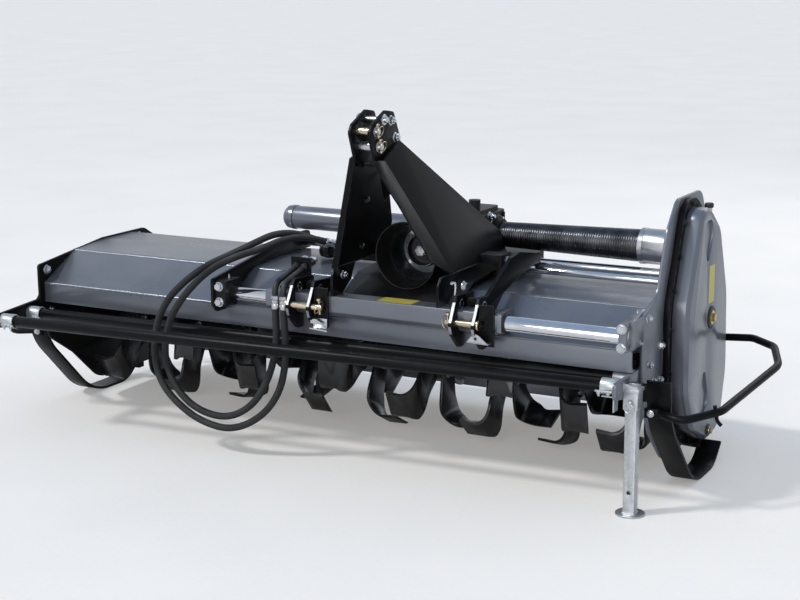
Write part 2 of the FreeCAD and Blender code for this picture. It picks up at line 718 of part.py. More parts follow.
def pto_stub():
    """Splined input stub, 1 3/8 inch, with six splines."""
    stub = y_rod(HEAD_X, PTO_Z, -172, -41, PTO_R)
    groove = y_rod(HEAD_X, PTO_Z, -160, -152, PTO_R + 1).cut(y_rod(HEAD_X, PTO_Z, -160, -152, PTO_R - 2))
    teeth = []
    for index in range(6):
        slot = box(HEAD_X - 4, HEAD_X + 4, -173, -122, PTO_Z + PTO_R - 2.5, PTO_Z + PTO_R + 2)
        slot.rotate(V(HEAD_X, 0, PTO_Z), V(0, 1, 0), index * 60)
        teeth.append(slot)
    return cut(stub, [groove] + teeth)


def pto_shield():
    """Deep tapered cup round the input stub."""
    # radius, y: outer wall from the rim to the back, then the bore
    outer = [(SHIELD_FRONT_R, SHIELD_FRONT_Y), (SHIELD_FRONT_R - 12, -200.0), (SHIELD_BACK_R, SHIELD_BACK_Y)]
    bore = [(PTO_R + 22, SHIELD_BACK_Y), (PTO_R + 22, SHIELD_BACK_Y - SHIELD_T)]
    inner = [(SHIELD_BACK_R - SHIELD_T, SHIELD_BACK_Y - SHIELD_T), (SHIELD_FRONT_R - 12 - SHIELD_T, -200.0)]
    inner.append((SHIELD_FRONT_R - SHIELD_T, SHIELD_FRONT_Y))
    points = [V(HEAD_X + r, y, PTO_Z) for r, y in outer + bore + inner]
    face = Part.Face(Part.makePolygon(points + [points[0]]))
    return face.revolve(V(HEAD_X, 0, PTO_Z), V(0, 1, 0), 360)


def side_tube():
    """Closed tube that takes the drive shaft in as the headstock moves."""
    start_x = HEAD_X - GEARBOX_LEFT - 40
    body = x_rod(SIDE_TUBE_END_X + 12, start_x, SHAFT_Y, SHAFT_Z, SIDE_TUBE_R)
    cap_seat = V(SIDE_TUBE_END_X + 12, SHAFT_Y, SHAFT_Z)
    cap = Part.makeCone(SIDE_TUBE_R, SIDE_TUBE_R - 10, 12, cap_seat, V(-1, 0, 0))
    return fuse([body, cap])


def spiral_cover():
    """Telescopic spiral spring cover over the drive shaft, ring by ring."""
    ring_length = (COVER_END_X - COVER_START_X) / COVER_RINGS
    points = [V(COVER_START_X, SHAFT_Y, SHAFT_Z)]
    for index in range(COVER_RINGS):
        radius = COVER_START_R + (COVER_END_R - COVER_START_R) * index / (COVER_RINGS - 1)
        x = COVER_START_X + index * ring_length
        points.append(V(x, SHAFT_Y, SHAFT_Z + radius - 1.5))
        points.append(V(x + ring_length, SHAFT_Y, SHAFT_Z + radius))
    points.append(V(COVER_END_X, SHAFT_Y, SHAFT_Z))
    face = Part.Face(Part.makePolygon(points + [points[0]]))
    return face.revolve(V(0, SHAFT_Y, SHAFT_Z), V(1, 0, 0), 360)


def mast_x(side, z):
    """Outer face of a mast plate, which leans outwards on its way down."""
    return HEAD_X + side * (MAST_TOP_HALF + (MAST_TOP_Z - z) * MAST_LEAN)


def leaning_plate(side, rows, thickness):
    """Plate along the leaning outer face of a mast; rows of (y, z)."""
    points = [V(mast_x(side, z), y, z) for y, z in rows]
    face = Part.Face(Part.makePolygon(points + [points[0]]))
    return face.extrude(V(-side * thickness, 0, 0))


def mast(side, rows, front):
    """Leaning side plate with a folded front edge and a foot on the beam."""
    plate = leaning_plate(side, rows, MAST_T)
    (y0, z0), (y1, z1) = front
    fold = leaning_plate(side, [(y0, z0), (y1, z1), (y1 + MAST_T, z1), (y0 + MAST_T, z0)], MAST_FOLD)
    return fuse([plate, fold, mast_foot(side)])


def mast_foot(side):
    # y, z, corner radius
    rows = [
        (BEAM_FRONT_Y + 2, BEAM_TOP_Z, 0), (BEAM_FRONT_Y + 2, 640, 14), (-400, MAST_LOW_Z + 2, 0),
        (-270, MAST_LOW_Z + 2, 0), (-300, 612, 0), (-356, BEAM_TOP_Z, 0),
    ]
    return prism("X", rows, mast_x(side, MAST_LOW_Z), -side * MAST_T)


def mast_left():
    front = [(-518, MAST_TOP_Z), (-414, MAST_LOW_Z)]
    rear = [(-60, MAST_LOW_Z), (-85, 775), (-165, 875), (-392, MAST_TOP_Z + 47)]
    return mast(-1, front + rear, front)


def mast_right():
    front = [(-524, MAST_TOP_Z), (-318, MAST_LOW_Z)]
    rear = [(94, MAST_LOW_Z), (94, 738), (-395, MAST_TOP_Z + 49)]
    return mast(1, front + rear, front)


# Top link pins: y, z, radius
TOP_PINS = [(-482.0, 1160.0, 9.5), (-532.0, 1128.0, 9.5), (-515.0, 1080.0, 11.0)]


def top_clevis():
    # y, z, corner radius
    rows = [
        (-572, 1126, 16), (-556, 1150, 10), (-470, 1188, 18), (-418, 1180, 16), (-378, 1100, 14),
        (-378, 1046, 0), (-488, TIE_LOW_Z - 4, 0), (-540, MAST_TOP_Z, 20),
    ]
    ears = []
    for way in (-1, 1):
        x = HEAD_X + way * CLEVIS_HALF - CLEVIS_T / 2
        ears.append(prism("X", rows, x, CLEVIS_T))
    reach = mast_x(1, TIE_LOW_Z + TIE_T) - HEAD_X - MAST_T
    tie = box(HEAD_X - reach, HEAD_X + reach, -488, -418, TIE_LOW_Z, TIE_LOW_Z + TIE_T)
    body = fuse(ears + [tie])
    return cut(body, [x_rod(HEAD_X - 50, HEAD_X + 50, y, z, r + RUNNING_FIT) for y, z, r in TOP_PINS])


def top_pins():
    reach = CLEVIS_HALF + CLEVIS_T / 2
    return Part.Compound([x_rod(HEAD_X - reach - 12, HEAD_X + reach + 12, y, z, r) for y, z, r in TOP_PINS])


def coupler_rest():
    """Bent strip on the beam where the hose couplers are parked."""
    upright_y = BEAM_REAR_Y + 52
    # y, z, bend radius
    rows = [(BEAM_REAR_Y - 28, BEAM_TOP_Z, 0), (upright_y, BEAM_TOP_Z, 10), (upright_y, BEAM_TOP_Z + 94, 0)]
    left_ear_x = HEAD_X - EAR_CENTRE - EAR_HALF_GAP - EAR_T
    rest = prism("X", sheet_rows(rows, REST_T), left_ear_x - REST_WIDTH, REST_WIDTH)
    return cut(rest, [coupler_body(route) for route in HOSE_ROUTES.values()])


# Hose routes, port to fitting: x, y, z
HOSE_ROUTES = {
    "hose_1": [
        (-145, -16, 663), (-193, -88, 705), (-245, -179, 717), (-286, -274, 687), (-324, -358, 660),
        (-357, -418, 640), (-388, -457, 613), (-429, -483, 575), (-477, -493, 525), (-521, -491, 460),
        (-548, -482, 389), (-557, -480, 309), (-534, -485, 228), (-470, -489, 162), (-365, -493, 106),
        (-239, -488, 88), (-131, -467, 144), (-69, -449, 232), (-49, -438, 337), (-48, -440, 414),
        (-51, -442, 482), (-51, -442, 548),
    ],
    "hose_2": [
        (-105, -16, 663), (-163, -88, 695), (-212, -172, 699), (-249, -262, 674), (-284, -345, 663),
        (-321, -417, 641), (-348, -461, 614), (-383, -488, 573), (-431, -494, 518), (-482, -485, 449),
        (-513, -476, 367), (-512, -477, 282), (-462, -482, 197), (-374, -487, 140), (-256, -484, 127),
        (-164, -473, 180), (-111, -464, 262), (-86, -453, 344), (-79, -444, 416), (-83, -442, 482),
        (-83, -442, 548),
    ],
}


def arc_radii(points):
    """Radius of the arc at each inner point of a hose route."""
    radii = [0.0]
    for before, here, after in zip(points, points[1:], points[2:]):
        turn = math.pi - (before - here).getAngle(after - here)
        shorter = min((before - here).Length, (after - here).Length)
        radii.append(BEND_SHARE * shorter / math.tan(turn / 2))
    return radii + [0.0]


def hose(name):
    points = [V(*row) for row in HOSE_ROUTES[name]]
    radii = arc_radii(points)
    path = rounded_wire(list(zip(points, radii)), closed=False)
    solid = bent_tube(list(zip(points, radii)), HOSE_R)
    share = solid.Volume / (path.Length * math.pi * HOSE_R ** 2)
    print(name, "length", round(path.Length), "volume share", round(share, 3))
    print(name, "radii", [round(r) for r in radii[1:-1]])
    return solid


def elbow_corner(route):
    return V(*route[-1]) + V(0, 0, ELBOW_RISE)


def elbow_point(route, distance):
    """Point on the sloping leg of the elbow above a hose's end."""
    return elbow_corner(route) + V(0, math.cos(ELBOW_SLOPE), math.sin(ELBOW_SLOPE)) * distance


def coupler_body(route):
    start = elbow_point(route, COUPLER_START)
    return rod(start, elbow_point(route, COUPLER_START + COUPLER_LENGTH), COUPLER_R)


def hose_couplers():
    """Bent fitting over the beam and a plain quick coupler for each hose."""
    shapes = []
    for route in HOSE_ROUTES.values():
        corners = [
            (V(*route[-1]), 0), (elbow_corner(route), ELBOW_BEND_R), (elbow_point(route, COUPLER_START), 0),
        ]
        shapes.append(fuse([bent_tube(corners, ELBOW_R), coupler_body(route)]))
    return Part.Compound(shapes)


PIECES = {
    "hood": hood,
    "left_end_plate": left_end_plate,
    "right_end_plate": right_end_plate,
    "case_flange": case_flange,
    "case_cover": case_cover,
    "case_plugs": case_plugs,
    "left_bearing": left_bearing,
    "left_rod_bracket": left_rod_bracket,
    "right_rod_bracket": right_rod_bracket,
    "front_rod": lambda: front_rod(0.0),
    "rear_rod": lambda: rear_rod(0.0),
    "ram_rod": ram_rod,
    "shaft_bush": shaft_bush,
    "rear_guard_bar": lambda: guard_bar(REAR_BAR),
    "front_guard_bar": lambda: guard_bar(FRONT_BAR),
    "bar_clamps": bar_clamps,
    "left_bar_arm": left_bar_arm,
    "right_bar_arm": right_bar_arm,
    "left_side_guard": lambda: side_guard(-1),
    "right_side_guard": lambda: side_guard(1),
    "left_skid": lambda: skid(-1),
    "right_skid": lambda: skid(1),
    "stand_sleeve": stand_sleeve,
    "stand_leg": stand_leg,
    "rotor": rotor,
    "rear_board": rear_board,
    "slide_beam": slide_beam,
    "left_hitch_bracket": lambda: hitch_bracket(-1),
    "right_hitch_bracket": lambda: hitch_bracket(1),
    "link_pins": link_pins,
    "deck_plate": deck_plate,
    "sliding_base": sliding_base,
    "ram_barrel": ram_barrel,
    "gearbox": gearbox,
    "pto_stub": pto_stub,
    "pto_shield": pto_shield,
    "side_tube": side_tube,
    "spiral_cover": spiral_cover,
    "mast_left": mast_left,
    "mast_right": mast_right,
    "top_clevis": top_clevis,
    "top_pins": top_pins,
    "coupler_rest": coupler_rest,
    "hose_1": lambda: hose("hose_1"),
    "hose_2": lambda: hose("hose_2"),
    "hose_couplers": hose_couplers,
}

# Middle of the footprint, which becomes the origin
ORIGIN = V(0.0, (LEFT_ARM_FRONT_Y + BOARD_REAR_Y) / 2, 0.0)


def main():
    os.makedirs("parts", exist_ok=True)
    for name, make in PIECES.items():
        shape = make()
        shape.translate(ORIGIN * -1)
        shape.exportStep("parts/" + name + ".step")


main()
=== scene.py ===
"""Looks of a side-shifting rotary tiller: finishes, fasteners, hoses and small fittings."""

import json
import logging
import math
from dataclasses import dataclass, field
from enum import Enum

import bmesh
import bpy
from mathutils import Matrix, Quaternion, Vector


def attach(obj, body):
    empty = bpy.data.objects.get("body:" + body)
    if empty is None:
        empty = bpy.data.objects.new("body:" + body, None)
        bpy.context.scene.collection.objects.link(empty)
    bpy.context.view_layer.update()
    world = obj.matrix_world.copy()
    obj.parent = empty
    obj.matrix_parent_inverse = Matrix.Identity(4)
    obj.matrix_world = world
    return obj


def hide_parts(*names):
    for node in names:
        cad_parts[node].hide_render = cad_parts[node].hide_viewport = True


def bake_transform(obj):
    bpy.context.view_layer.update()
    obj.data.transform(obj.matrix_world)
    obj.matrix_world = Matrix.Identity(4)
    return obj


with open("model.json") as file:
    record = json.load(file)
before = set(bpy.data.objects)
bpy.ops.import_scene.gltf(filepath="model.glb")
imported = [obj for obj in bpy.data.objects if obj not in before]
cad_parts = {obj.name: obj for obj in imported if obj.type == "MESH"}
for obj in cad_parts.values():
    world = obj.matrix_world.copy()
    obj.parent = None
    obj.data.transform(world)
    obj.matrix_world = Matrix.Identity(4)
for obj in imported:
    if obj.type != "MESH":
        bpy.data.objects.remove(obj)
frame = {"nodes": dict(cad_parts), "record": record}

LOG = logging.getLogger("tiller")
MM = 0.001
DRAWING_SHIFT_Y = 58.0


def at(x: float, y: float, z: float) -> Vector:
    """Turn a point of the drawing, in millimetres, into one of the frame, in metres."""
    return Vector((x, y + DRAWING_SHIFT_Y, z)) * MM


class Sheet:
    """Short calls for one material's or group's nodes."""

    def __init__(self, tree: bpy.types.NodeTree) -> None:
        """Start from an empty tree.

        Args:
            tree: The node tree to fill.
        """
        self.tree = tree
        tree.nodes.clear()

    def add(self, kind: str, inputs: dict | None = None, **settings: object) -> bpy.types.Node:
        """Add a node, set its properties and feed its inputs.

        Args:
            kind: Node type without its ShaderNode prefix, or the full name of a group node.
            inputs: Socket name or index to a value, or to the output socket that feeds it.
            **settings: Node properties.

        Returns:
            The new node.
        """
        full = kind if kind.startswith("NodeGroup") else "ShaderNode" + kind
        node = self.tree.nodes.new(full)
        for name, value in settings.items():
            setattr(node, name, value)
        for name, value in (inputs or {}).items():
            self.feed(node, name, value)
        return node

    def feed(self, node: bpy.types.Node, name: str | int, value: object) -> None:
        """Set one input to a value or link it to an output socket."""
        if isinstance(value, bpy.types.NodeSocket):
            self.tree.links.new(value, node.inputs[name])
        else:
            node.inputs[name].default_value = value

    def math(self, operation: str, a: object, b: object = 0.0, clamp: bool = False) -> bpy.types.NodeSocket:
        """Add a Math node.

        Args:
            operation: Blender's name of the operation.
            a: First value or socket.
            b: Second value or socket.
            clamp: Whether the result stays between 0 and 1.

        Returns:
            The node's output socket.
        """
        return self.add("Math", {0: a, 1: b}, operation=operation, use_clamp=clamp).outputs[0]

    def mix(self, factor: object, a: object, b: object) -> bpy.types.NodeSocket:
        """Mix two colours.

        Args:
            factor: Share of the second colour, a value or socket.
            a: First colour or socket.
            b: Second colour or socket.

        Returns:
            The mixed colour's socket.
        """
        node = self.add("Mix", data_type="RGBA")
        self.feed(node, 0, factor)
        self.feed(node, 6, a)
        self.feed(node, 7, b)
        return node.outputs[2]

    def span(
        self, value: object, low: float, high: float, start: float = 0.0, end: float = 1.0,
    ) -> bpy.types.NodeSocket:
        """Map a value from one range to another, held inside it.

        Args:
            value: Value or socket.
            low: Value that gives start.
            high: Value that gives end.
            start: Result at low.
            end: Result at high.

        Returns:
            The mapped value's socket.
        """
        return self.add("MapRange", {0: value, 1: low, 2: high, 3: start, 4: end}).outputs[0]


def rgba(colour: tuple[float, float, float]) -> tuple[float, float, float, float]:
    """Add full opacity to a colour."""
    return (*colour, 1.0)


GroupParts = tuple[bpy.types.NodeTree, Sheet, bpy.types.Node, bpy.types.Node]


def new_group(
    name: str, inputs: list[tuple[str, str, object]], outputs: list[tuple[str, str]],
) -> GroupParts:
    """Make an empty shader group with named sockets.

    Args:
        name: The group's name.
        inputs: Name, socket type and default of each input.
        outputs: Name and socket type of each output.

    Returns:
        The group, its sheet and its input and output nodes.
    """
    group = bpy.data.node_groups.new(name, "ShaderNodeTree")
    for label, kind, default in inputs:
        socket = group.interface.new_socket(label, in_out="INPUT", socket_type=kind)
        socket.default_value = default
    for label, kind in outputs:
        group.interface.new_socket(label, in_out="OUTPUT", socket_type=kind)
    sheet = Sheet(group)
    return group, sheet, sheet.add("NodeGroupInput"), sheet.add("NodeGroupOutput")


def edge_wear_group() -> bpy.types.NodeTree:
    """Mask of rubbed outer edges, broken up by noise."""
    group, sheet, into, out = new_group(
        "rubbed_edges",
        [
            ("Radius", "NodeSocketFloat", 0.002), ("Breakup", "NodeSocketFloat", 40.0),
            ("Amount", "NodeSocketFloat", 0.5),
        ],
        [("Mask", "NodeSocketFloat")],
    )
    rounded = sheet.add("Bevel", {"Radius": into.outputs["Radius"]}, samples=4)
    flat = sheet.add("NewGeometry").outputs["Normal"]
    turn = sheet.add("VectorMath", {0: rounded.outputs[0], 1: flat}, operation="DOT_PRODUCT")
    edge = sheet.span(turn.outputs["Value"], 0.995, 0.86)
    place = sheet.add("TexCoord").outputs["Object"]
    noise = sheet.add("TexNoise", {"Vector": place, "Scale": into.outputs["Breakup"], "Detail": 4.0})
    rough = sheet.span(noise.outputs[0], 0.42, 0.62)
    mask = sheet.math("MULTIPLY", edge, rough)
    sheet.feed(out, 0, sheet.math("MULTIPLY", mask, into.outputs["Amount"], clamp=True))
    return group


def dust_group() -> bpy.types.NodeTree:
    """Mask of fine dust that settles on faces that look up."""
    group, sheet, into, out = new_group(
        "settled_dust",
        [("Amount", "NodeSocketFloat", 0.3), ("Scale", "NodeSocketFloat", 6.0)],
        [("Mask", "NodeSocketFloat")],
    )
    normal = sheet.add("NewGeometry").outputs["Normal"]
    up = sheet.add("SeparateXYZ", {0: normal}).outputs[2]
    level = sheet.span(up, 0.2, 0.95, 0.15, 1.0)
    place = sheet.add("TexCoord").outputs["Object"]
    noise = sheet.add(
        "TexNoise", {"Vector": place, "Scale": into.outputs["Scale"], "Detail": 6.0, "Roughness": 0.65},
    )
    cloud = sheet.span(noise.outputs[0], 0.38, 0.72)
    mask = sheet.math("MULTIPLY", level, cloud)
    sheet.feed(out, 0, sheet.math("MULTIPLY", mask, into.outputs["Amount"], clamp=True))
    return group


def mottle_group() -> bpy.types.NodeTree:
    """Slow change of tone and a fine surface height, as on sprayed or cast metal."""
    group, sheet, into, out = new_group(
        "mottled_surface",
        [("Cloud scale", "NodeSocketFloat", 5.0), ("Skin scale", "NodeSocketFloat", 400.0)],
        [("Tone", "NodeSocketFloat"), ("Skin", "NodeSocketFloat")],
    )
    place = sheet.add("TexCoord").outputs["Object"]
    cloud = sheet.add("TexNoise", {"Vector": place, "Scale": into.outputs[0], "Detail": 5.0})
    skin = sheet.add("TexNoise", {"Vector": place, "Scale": into.outputs[1], "Detail": 2.0})
    sheet.feed(out, 0, sheet.span(cloud.outputs[0], 0.3, 0.7))
    sheet.feed(out, 1, skin.outputs[0])
    return group


class Groups:
    """The shared shader groups, each built once."""

    made: dict[str, bpy.types.NodeTree] = {}
    makers = {"edges": edge_wear_group, "dust": dust_group, "mottle": mottle_group}

    @classmethod
    def use(cls, sheet: Sheet, name: str, inputs: dict[str, float]) -> bpy.types.Node:
        """Place a shared group in a material.

        Args:
            sheet: The material's sheet.
            name: Key of the group in makers.
            inputs: Values of the group's inputs.

        Returns:
            The group node.
        """
        if name not in cls.made:
            cls.made[name] = cls.makers[name]()
        node = sheet.add("Group", node_tree=cls.made[name])
        for label, value in inputs.items():
            sheet.feed(node, label, value)
        return node


def blank_material(name: str) -> tuple[bpy.types.Material, Sheet]:
    """Make a material with an empty node tree.

    Args:
        name: The material's name.

    Returns:
        The material and its sheet.
    """
    material = bpy.data.materials.new(name)
    material.use_nodes = True
    return material, Sheet(material.node_tree)


def close_material(sheet: Sheet, inputs: dict[str, object]) -> None:
    """Add the Principled shader and the output.

    Args:
        sheet: The material's sheet.
        inputs: Values and sockets of the Principled shader.
    """
    shader = sheet.add("BsdfPrincipled", inputs)
    sheet.add("OutputMaterial", {"Surface": shader.outputs[0]})


@dataclass(frozen=True)
class Paint:
    """Sprayed paint, plain or with metal flake, rubbed at its edges and dusty on top."""

    name: str
    colour: tuple[float, float, float]
    deep: tuple[float, float, float]
    metallic: float = 0.0
    roughness: float = 0.38
    coat: float = 0.0
    gloss: float = 0.5
    wear: float = 0.35
    bare: tuple[float, float, float] = (0.28, 0.28, 0.285)
    dust: float = 0.25
    skin: float = 0.08

    def build(self) -> bpy.types.Material:
        """Make the material.

        Returns:
            The paint's material.
        """
        material, sheet = blank_material(self.name)
        mottle = Groups.use(sheet, "mottle", {"Cloud scale": 3.5, "Skin scale": 520.0})
        edges = Groups.use(sheet, "edges", {"Radius": 0.0022, "Amount": self.wear})
        dust = Groups.use(sheet, "dust", {"Amount": self.dust})
        colour = sheet.mix(mottle.outputs["Tone"], rgba(self.deep), rgba(self.colour))
        colour = sheet.mix(edges.outputs[0], colour, rgba(self.bare))
        colour = sheet.mix(dust.outputs[0], colour, rgba((0.36, 0.35, 0.33)))
        rough = sheet.span(mottle.outputs["Tone"], 0.0, 1.0, self.roughness - 0.04, self.roughness + 0.05)
        rough = sheet.math("MAXIMUM", rough, sheet.span(dust.outputs[0], 0.0, 1.0, 0.0, 0.8))
        metal = sheet.span(dust.outputs[0], 0.0, 0.6, self.metallic, 0.0)
        height = mottle.outputs["Skin"]
        bump = sheet.add("Bump", {"Height": height, "Strength": self.skin, "Distance": 0.0006})
        close_material(sheet, {
            "Base Color": colour, "Roughness": rough, "Metallic": metal, "Coat Weight": self.coat,
            "Coat Roughness": 0.18, "Specular IOR Level": self.gloss, "Normal": bump.outputs[0],
        })
        return material


@dataclass(frozen=True)
class Metal:
    """Bare or plated metal with fine marks along one axis and a slow change of tint."""

    name: str
    colour: tuple[float, float, float]
    tint: tuple[float, float, float]
    roughness: float = 0.25
    stretch: tuple[float, float, float] = (1.0, 1.0, 1.0)
    mark_scale: float = 300.0
    mark: float = 0.1
    spangle: float = 0.0
    metallic: float = 1.0
    dust: float = 0.08

    def build(self) -> bpy.types.Material:
        """Make the material.

        Returns:
            The metal's material.
        """
        material, sheet = blank_material(self.name)
        place = sheet.add("TexCoord").outputs["Object"]
        mapped = sheet.add("Mapping", {"Vector": place, "Scale": self.stretch}).outputs[0]
        marks = sheet.add("TexNoise", {"Vector": mapped, "Scale": self.mark_scale, "Detail": 3.0}).outputs[0]
        slow = sheet.add("TexNoise", {"Vector": place, "Scale": 22.0, "Detail": 3.0}).outputs[0]
        tone = sheet.span(slow, 0.35, 0.65)
        if self.spangle:
            cells = sheet.add("TexVoronoi", {"Vector": place, "Scale": 130.0}).outputs["Color"]
            grey = sheet.add("SeparateColor", {0: cells}).outputs[0]
            smooth_share = sheet.math("MULTIPLY", tone, 1 - self.spangle)
            tone = sheet.math("ADD", smooth_share, sheet.math("MULTIPLY", grey, self.spangle))
        dust = Groups.use(sheet, "dust", {"Amount": self.dust})
        colour = sheet.mix(tone, rgba(self.colour), rgba(self.tint))
        colour = sheet.mix(dust.outputs[0], colour, rgba((0.36, 0.35, 0.33)))
        rough = sheet.span(marks, 0.3, 0.7, self.roughness * 0.8, self.roughness * 1.25)
        metal = sheet.span(dust.outputs[0], 0.0, 0.6, self.metallic, 0.2)
        bump = sheet.add("Bump", {"Height": marks, "Strength": self.mark, "Distance": 0.0004})
        close_material(sheet, {
            "Base Color": colour, "Roughness": rough, "Metallic": metal, "Normal": bump.outputs[0],
        })
        return material


@dataclass(frozen=True)
class Rubber:
    """Black rubber or plastic, with an optional woven sleeve pattern along the piece's own UV map; its colour is a
    painted sheen on the strands' crests and painted shade between them.
    """

    name: str
    colour: tuple[float, float, float]
    roughness: float = 0.55
    weave: float = 0.0
    turns: float = 10.0
    rows: float = 900.0
    skin: float = 0.1
    pale_gain: float = 2.4
    dust: float = 0.18

    def build(self) -> bpy.types.Material:
        """Make the material.

        Returns:
            The rubber's material.
        """
        material, sheet = blank_material(self.name)
        mottle = Groups.use(sheet, "mottle", {"Cloud scale": 14.0, "Skin scale": 700.0})
        dust = Groups.use(sheet, "dust", {"Amount": self.dust, "Scale": 14.0})
        height = mottle.outputs["Skin"]
        pale = tuple(min(1.0, c * self.pale_gain + 0.008) for c in self.colour)
        colour = sheet.mix(sheet.math("MULTIPLY", mottle.outputs["Tone"], 0.5), rgba(self.colour), rgba(pale))
        if self.weave:
            threads = self.threads(sheet)
            skin = sheet.math("MULTIPLY", height, 0.2)
            height = sheet.math("ADD", sheet.math("MULTIPLY", threads, self.weave), skin)
            # Painted sheen on the strands' crests and painted shade in the gaps: the colour follows the strands'
            # height.
            colour = sheet.mix(sheet.span(threads, 0.2, 0.9), rgba(self.colour), rgba(pale))
        colour = sheet.mix(dust.outputs[0], colour, rgba((0.3, 0.29, 0.27)))
        strength = max(self.skin, self.weave)
        bump = sheet.add("Bump", {"Height": height, "Strength": strength, "Distance": 0.0012})
        close_material(sheet, {"Base Color": colour, "Roughness": self.roughness, "Normal": bump.outputs[0]})
        return material

    def threads(self, sheet: Sheet) -> bpy.types.NodeSocket:
        """Crossing diagonal strands.

        Args:
            sheet: The material's sheet.

        Returns:
            Height of the strands, 0 to 1.
        """
        uv = sheet.add("SeparateXYZ", {0: sheet.add("TexCoord").outputs["UV"]})
        along = sheet.math("MULTIPLY", uv.outputs[0], self.rows)
        around = sheet.math("MULTIPLY", uv.outputs[1], self.turns)
        strands = []
        for sign in (1.0, -1.0):
            phase = sheet.math("ADD", along, sheet.math("MULTIPLY", around, sign))
            strands.append(sheet.math("ABSOLUTE", sheet.math("SINE", sheet.math("MULTIPLY", phase, math.pi))))
        return sheet.math("MULTIPLY", strands[0], strands[1])


class Finish(Enum):
    """Every finish on the tiller."""

    GRAPHITE = Paint(
        "graphite_paint", (0.195, 0.208, 0.24), (0.165, 0.175, 0.204), metallic=0.55, roughness=0.3,
        coat=0.35, wear=0.3, dust=0.16,
    )
    BLACK = Paint(
        "black_paint", (0.0045, 0.0045, 0.005), (0.003, 0.003, 0.0034), roughness=0.34, gloss=0.14, wear=0.6,
        bare=(0.2, 0.2, 0.205), dust=0.03,
    )
    SHADED_BLACK = Paint(
        "shaded_black_paint", (0.008, 0.008, 0.009), (0.005, 0.005, 0.0055), roughness=0.42, gloss=0.2,
        wear=0.4, bare=(0.14, 0.14, 0.145), dust=0.08,
    )
    CHROME = Metal("chrome_rod", (0.86, 0.86, 0.88), (0.78, 0.79, 0.82), roughness=0.07, mark=0.02, dust=0.02)
    TURNED = Metal(
        "turned_steel", (0.62, 0.62, 0.63), (0.52, 0.52, 0.53), roughness=0.28, stretch=(8.0, 1.0, 1.0),
    )
    ZINC = Metal("bright_zinc", (0.74, 0.75, 0.76), (0.6, 0.61, 0.63), roughness=0.24)
    GALVANISED = Metal(
        "galvanised", (0.7, 0.72, 0.73), (0.52, 0.54, 0.55), roughness=0.38, spangle=0.6, metallic=0.8,
    )
    YELLOW_ZINC = Metal("yellow_zinc", (0.76, 0.66, 0.44), (0.7, 0.56, 0.4), roughness=0.24)
    BRASS = Metal("brass", (0.62, 0.5, 0.2), (0.5, 0.4, 0.16), roughness=0.25)
    BLADE = Paint(
        "blade_paint", (0.012, 0.012, 0.013), (0.006, 0.006, 0.007), roughness=0.26, coat=0.35, wear=0.5,
        dust=0.06,
    )
    SPRING = Metal(
        "spring_steel", (0.1, 0.1, 0.108), (0.04, 0.04, 0.045), roughness=0.27, mark=0.35,
        stretch=(1.0, 0.05, 0.05), mark_scale=240.0,
    )
    SHADED_STEEL = Metal("shaded_steel", (0.2, 0.21, 0.22), (0.12, 0.125, 0.13), roughness=0.3)
    # Pale metal for strips on black edges: a painted highlight.
    EDGE_HIGHLIGHT = Metal("painted_edge_highlight", (0.5, 0.51, 0.53), (0.3, 0.31, 0.33), roughness=0.4, dust=0.0)
    HOSE = Rubber("hose_sleeve", (0.007, 0.007, 0.0075), weave=0.8)
    PLASTIC = Rubber("shield_plastic", (0.003, 0.003, 0.0033), roughness=0.42, skin=0.1, pale_gain=1.2, dust=0.05)
    RUBBER = Rubber("plug_rubber", (0.01, 0.01, 0.011), roughness=0.5)
    SEALANT = Rubber("seal_line", (0.11, 0.045, 0.045), roughness=0.6)
    STICKER = Rubber("yellow_film", (0.6, 0.5, 0.07), roughness=0.35, skin=0.02, pale_gain=1.15)


class Finishes:
    """Materials made once per finish."""

    made: dict[Finish, bpy.types.Material] = {}

    @classmethod
    def get(cls, finish: Finish) -> bpy.types.Material:
        """Return the finish's material, built at its first use."""
        if finish not in cls.made:
            cls.made[finish] = finish.value.build()
        return cls.made[finish]


SLOT_FINISH = {
    "graphite_paint": Finish.GRAPHITE,
    "case_paint": Finish.GRAPHITE,
    "black_paint": Finish.BLACK,
    "chrome_rod": Finish.CHROME,
    "turned_steel": Finish.TURNED,
    "galvanised": Finish.GALVANISED,
    "yellow_zinc": Finish.YELLOW_ZINC,
    "blade_steel": Finish.BLADE,
    "spring_steel": Finish.SPRING,
    "hose_rubber": Finish.HOSE,
    "shield_plastic": Finish.PLASTIC,
}


NODE_FINISH = {
    "right_rod_bracket": Finish.GRAPHITE,
    "case_flange": Finish.BLACK,
    "left_rod_bracket": Finish.SHADED_BLACK,
    "deck_plate": Finish.SHADED_BLACK,
    "sliding_base": Finish.SHADED_BLACK,
    "gearbox": Finish.SHADED_BLACK,
    "hose_couplers": Finish.RUBBER,
    "top_pins": Finish.ZINC,
}


@dataclass
class SolidDress:
    """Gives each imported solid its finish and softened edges."""

    edge: float = 0.0015
    weld: float = 0.00002
    turn: float = math.radians(30)
    segments: int = 2

    def dress(self, node: bpy.types.Object, finish: Finish) -> None:
        """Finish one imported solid.

        Args:
            node: The solid's object.
            finish: Its finish.
        """
        node.data.materials.clear()
        node.data.materials.append(Finishes.get(finish))
        node.data.polygons.foreach_set("use_smooth", [True] * len(node.data.polygons))
        weld = node.modifiers.new("weld", "WELD")
        weld.merge_threshold = self.weld
        flat = node.modifiers.new("flat", "DECIMATE")
        flat.decimate_type = "DISSOLVE"
        flat.angle_limit = math.radians(0.4)
        bevel = node.modifiers.new("edges", "BEVEL")
        bevel.width = self.edge
        bevel.segments = self.segments
        bevel.limit_method = "ANGLE"
        bevel.angle_limit = self.turn
        bevel.harden_normals = True
        bevel.use_clamp_overlap = True

    def build(self) -> None:
        """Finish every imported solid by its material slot."""
        slots = {part["node"]: part["material_slot"] for part in frame["record"]["subparts"]}
        for name, node in frame["nodes"].items():
            self.dress(node, NODE_FINISH.get(name, SLOT_FINISH[slots[name]]))
            LOG.info("dressed %s", name)


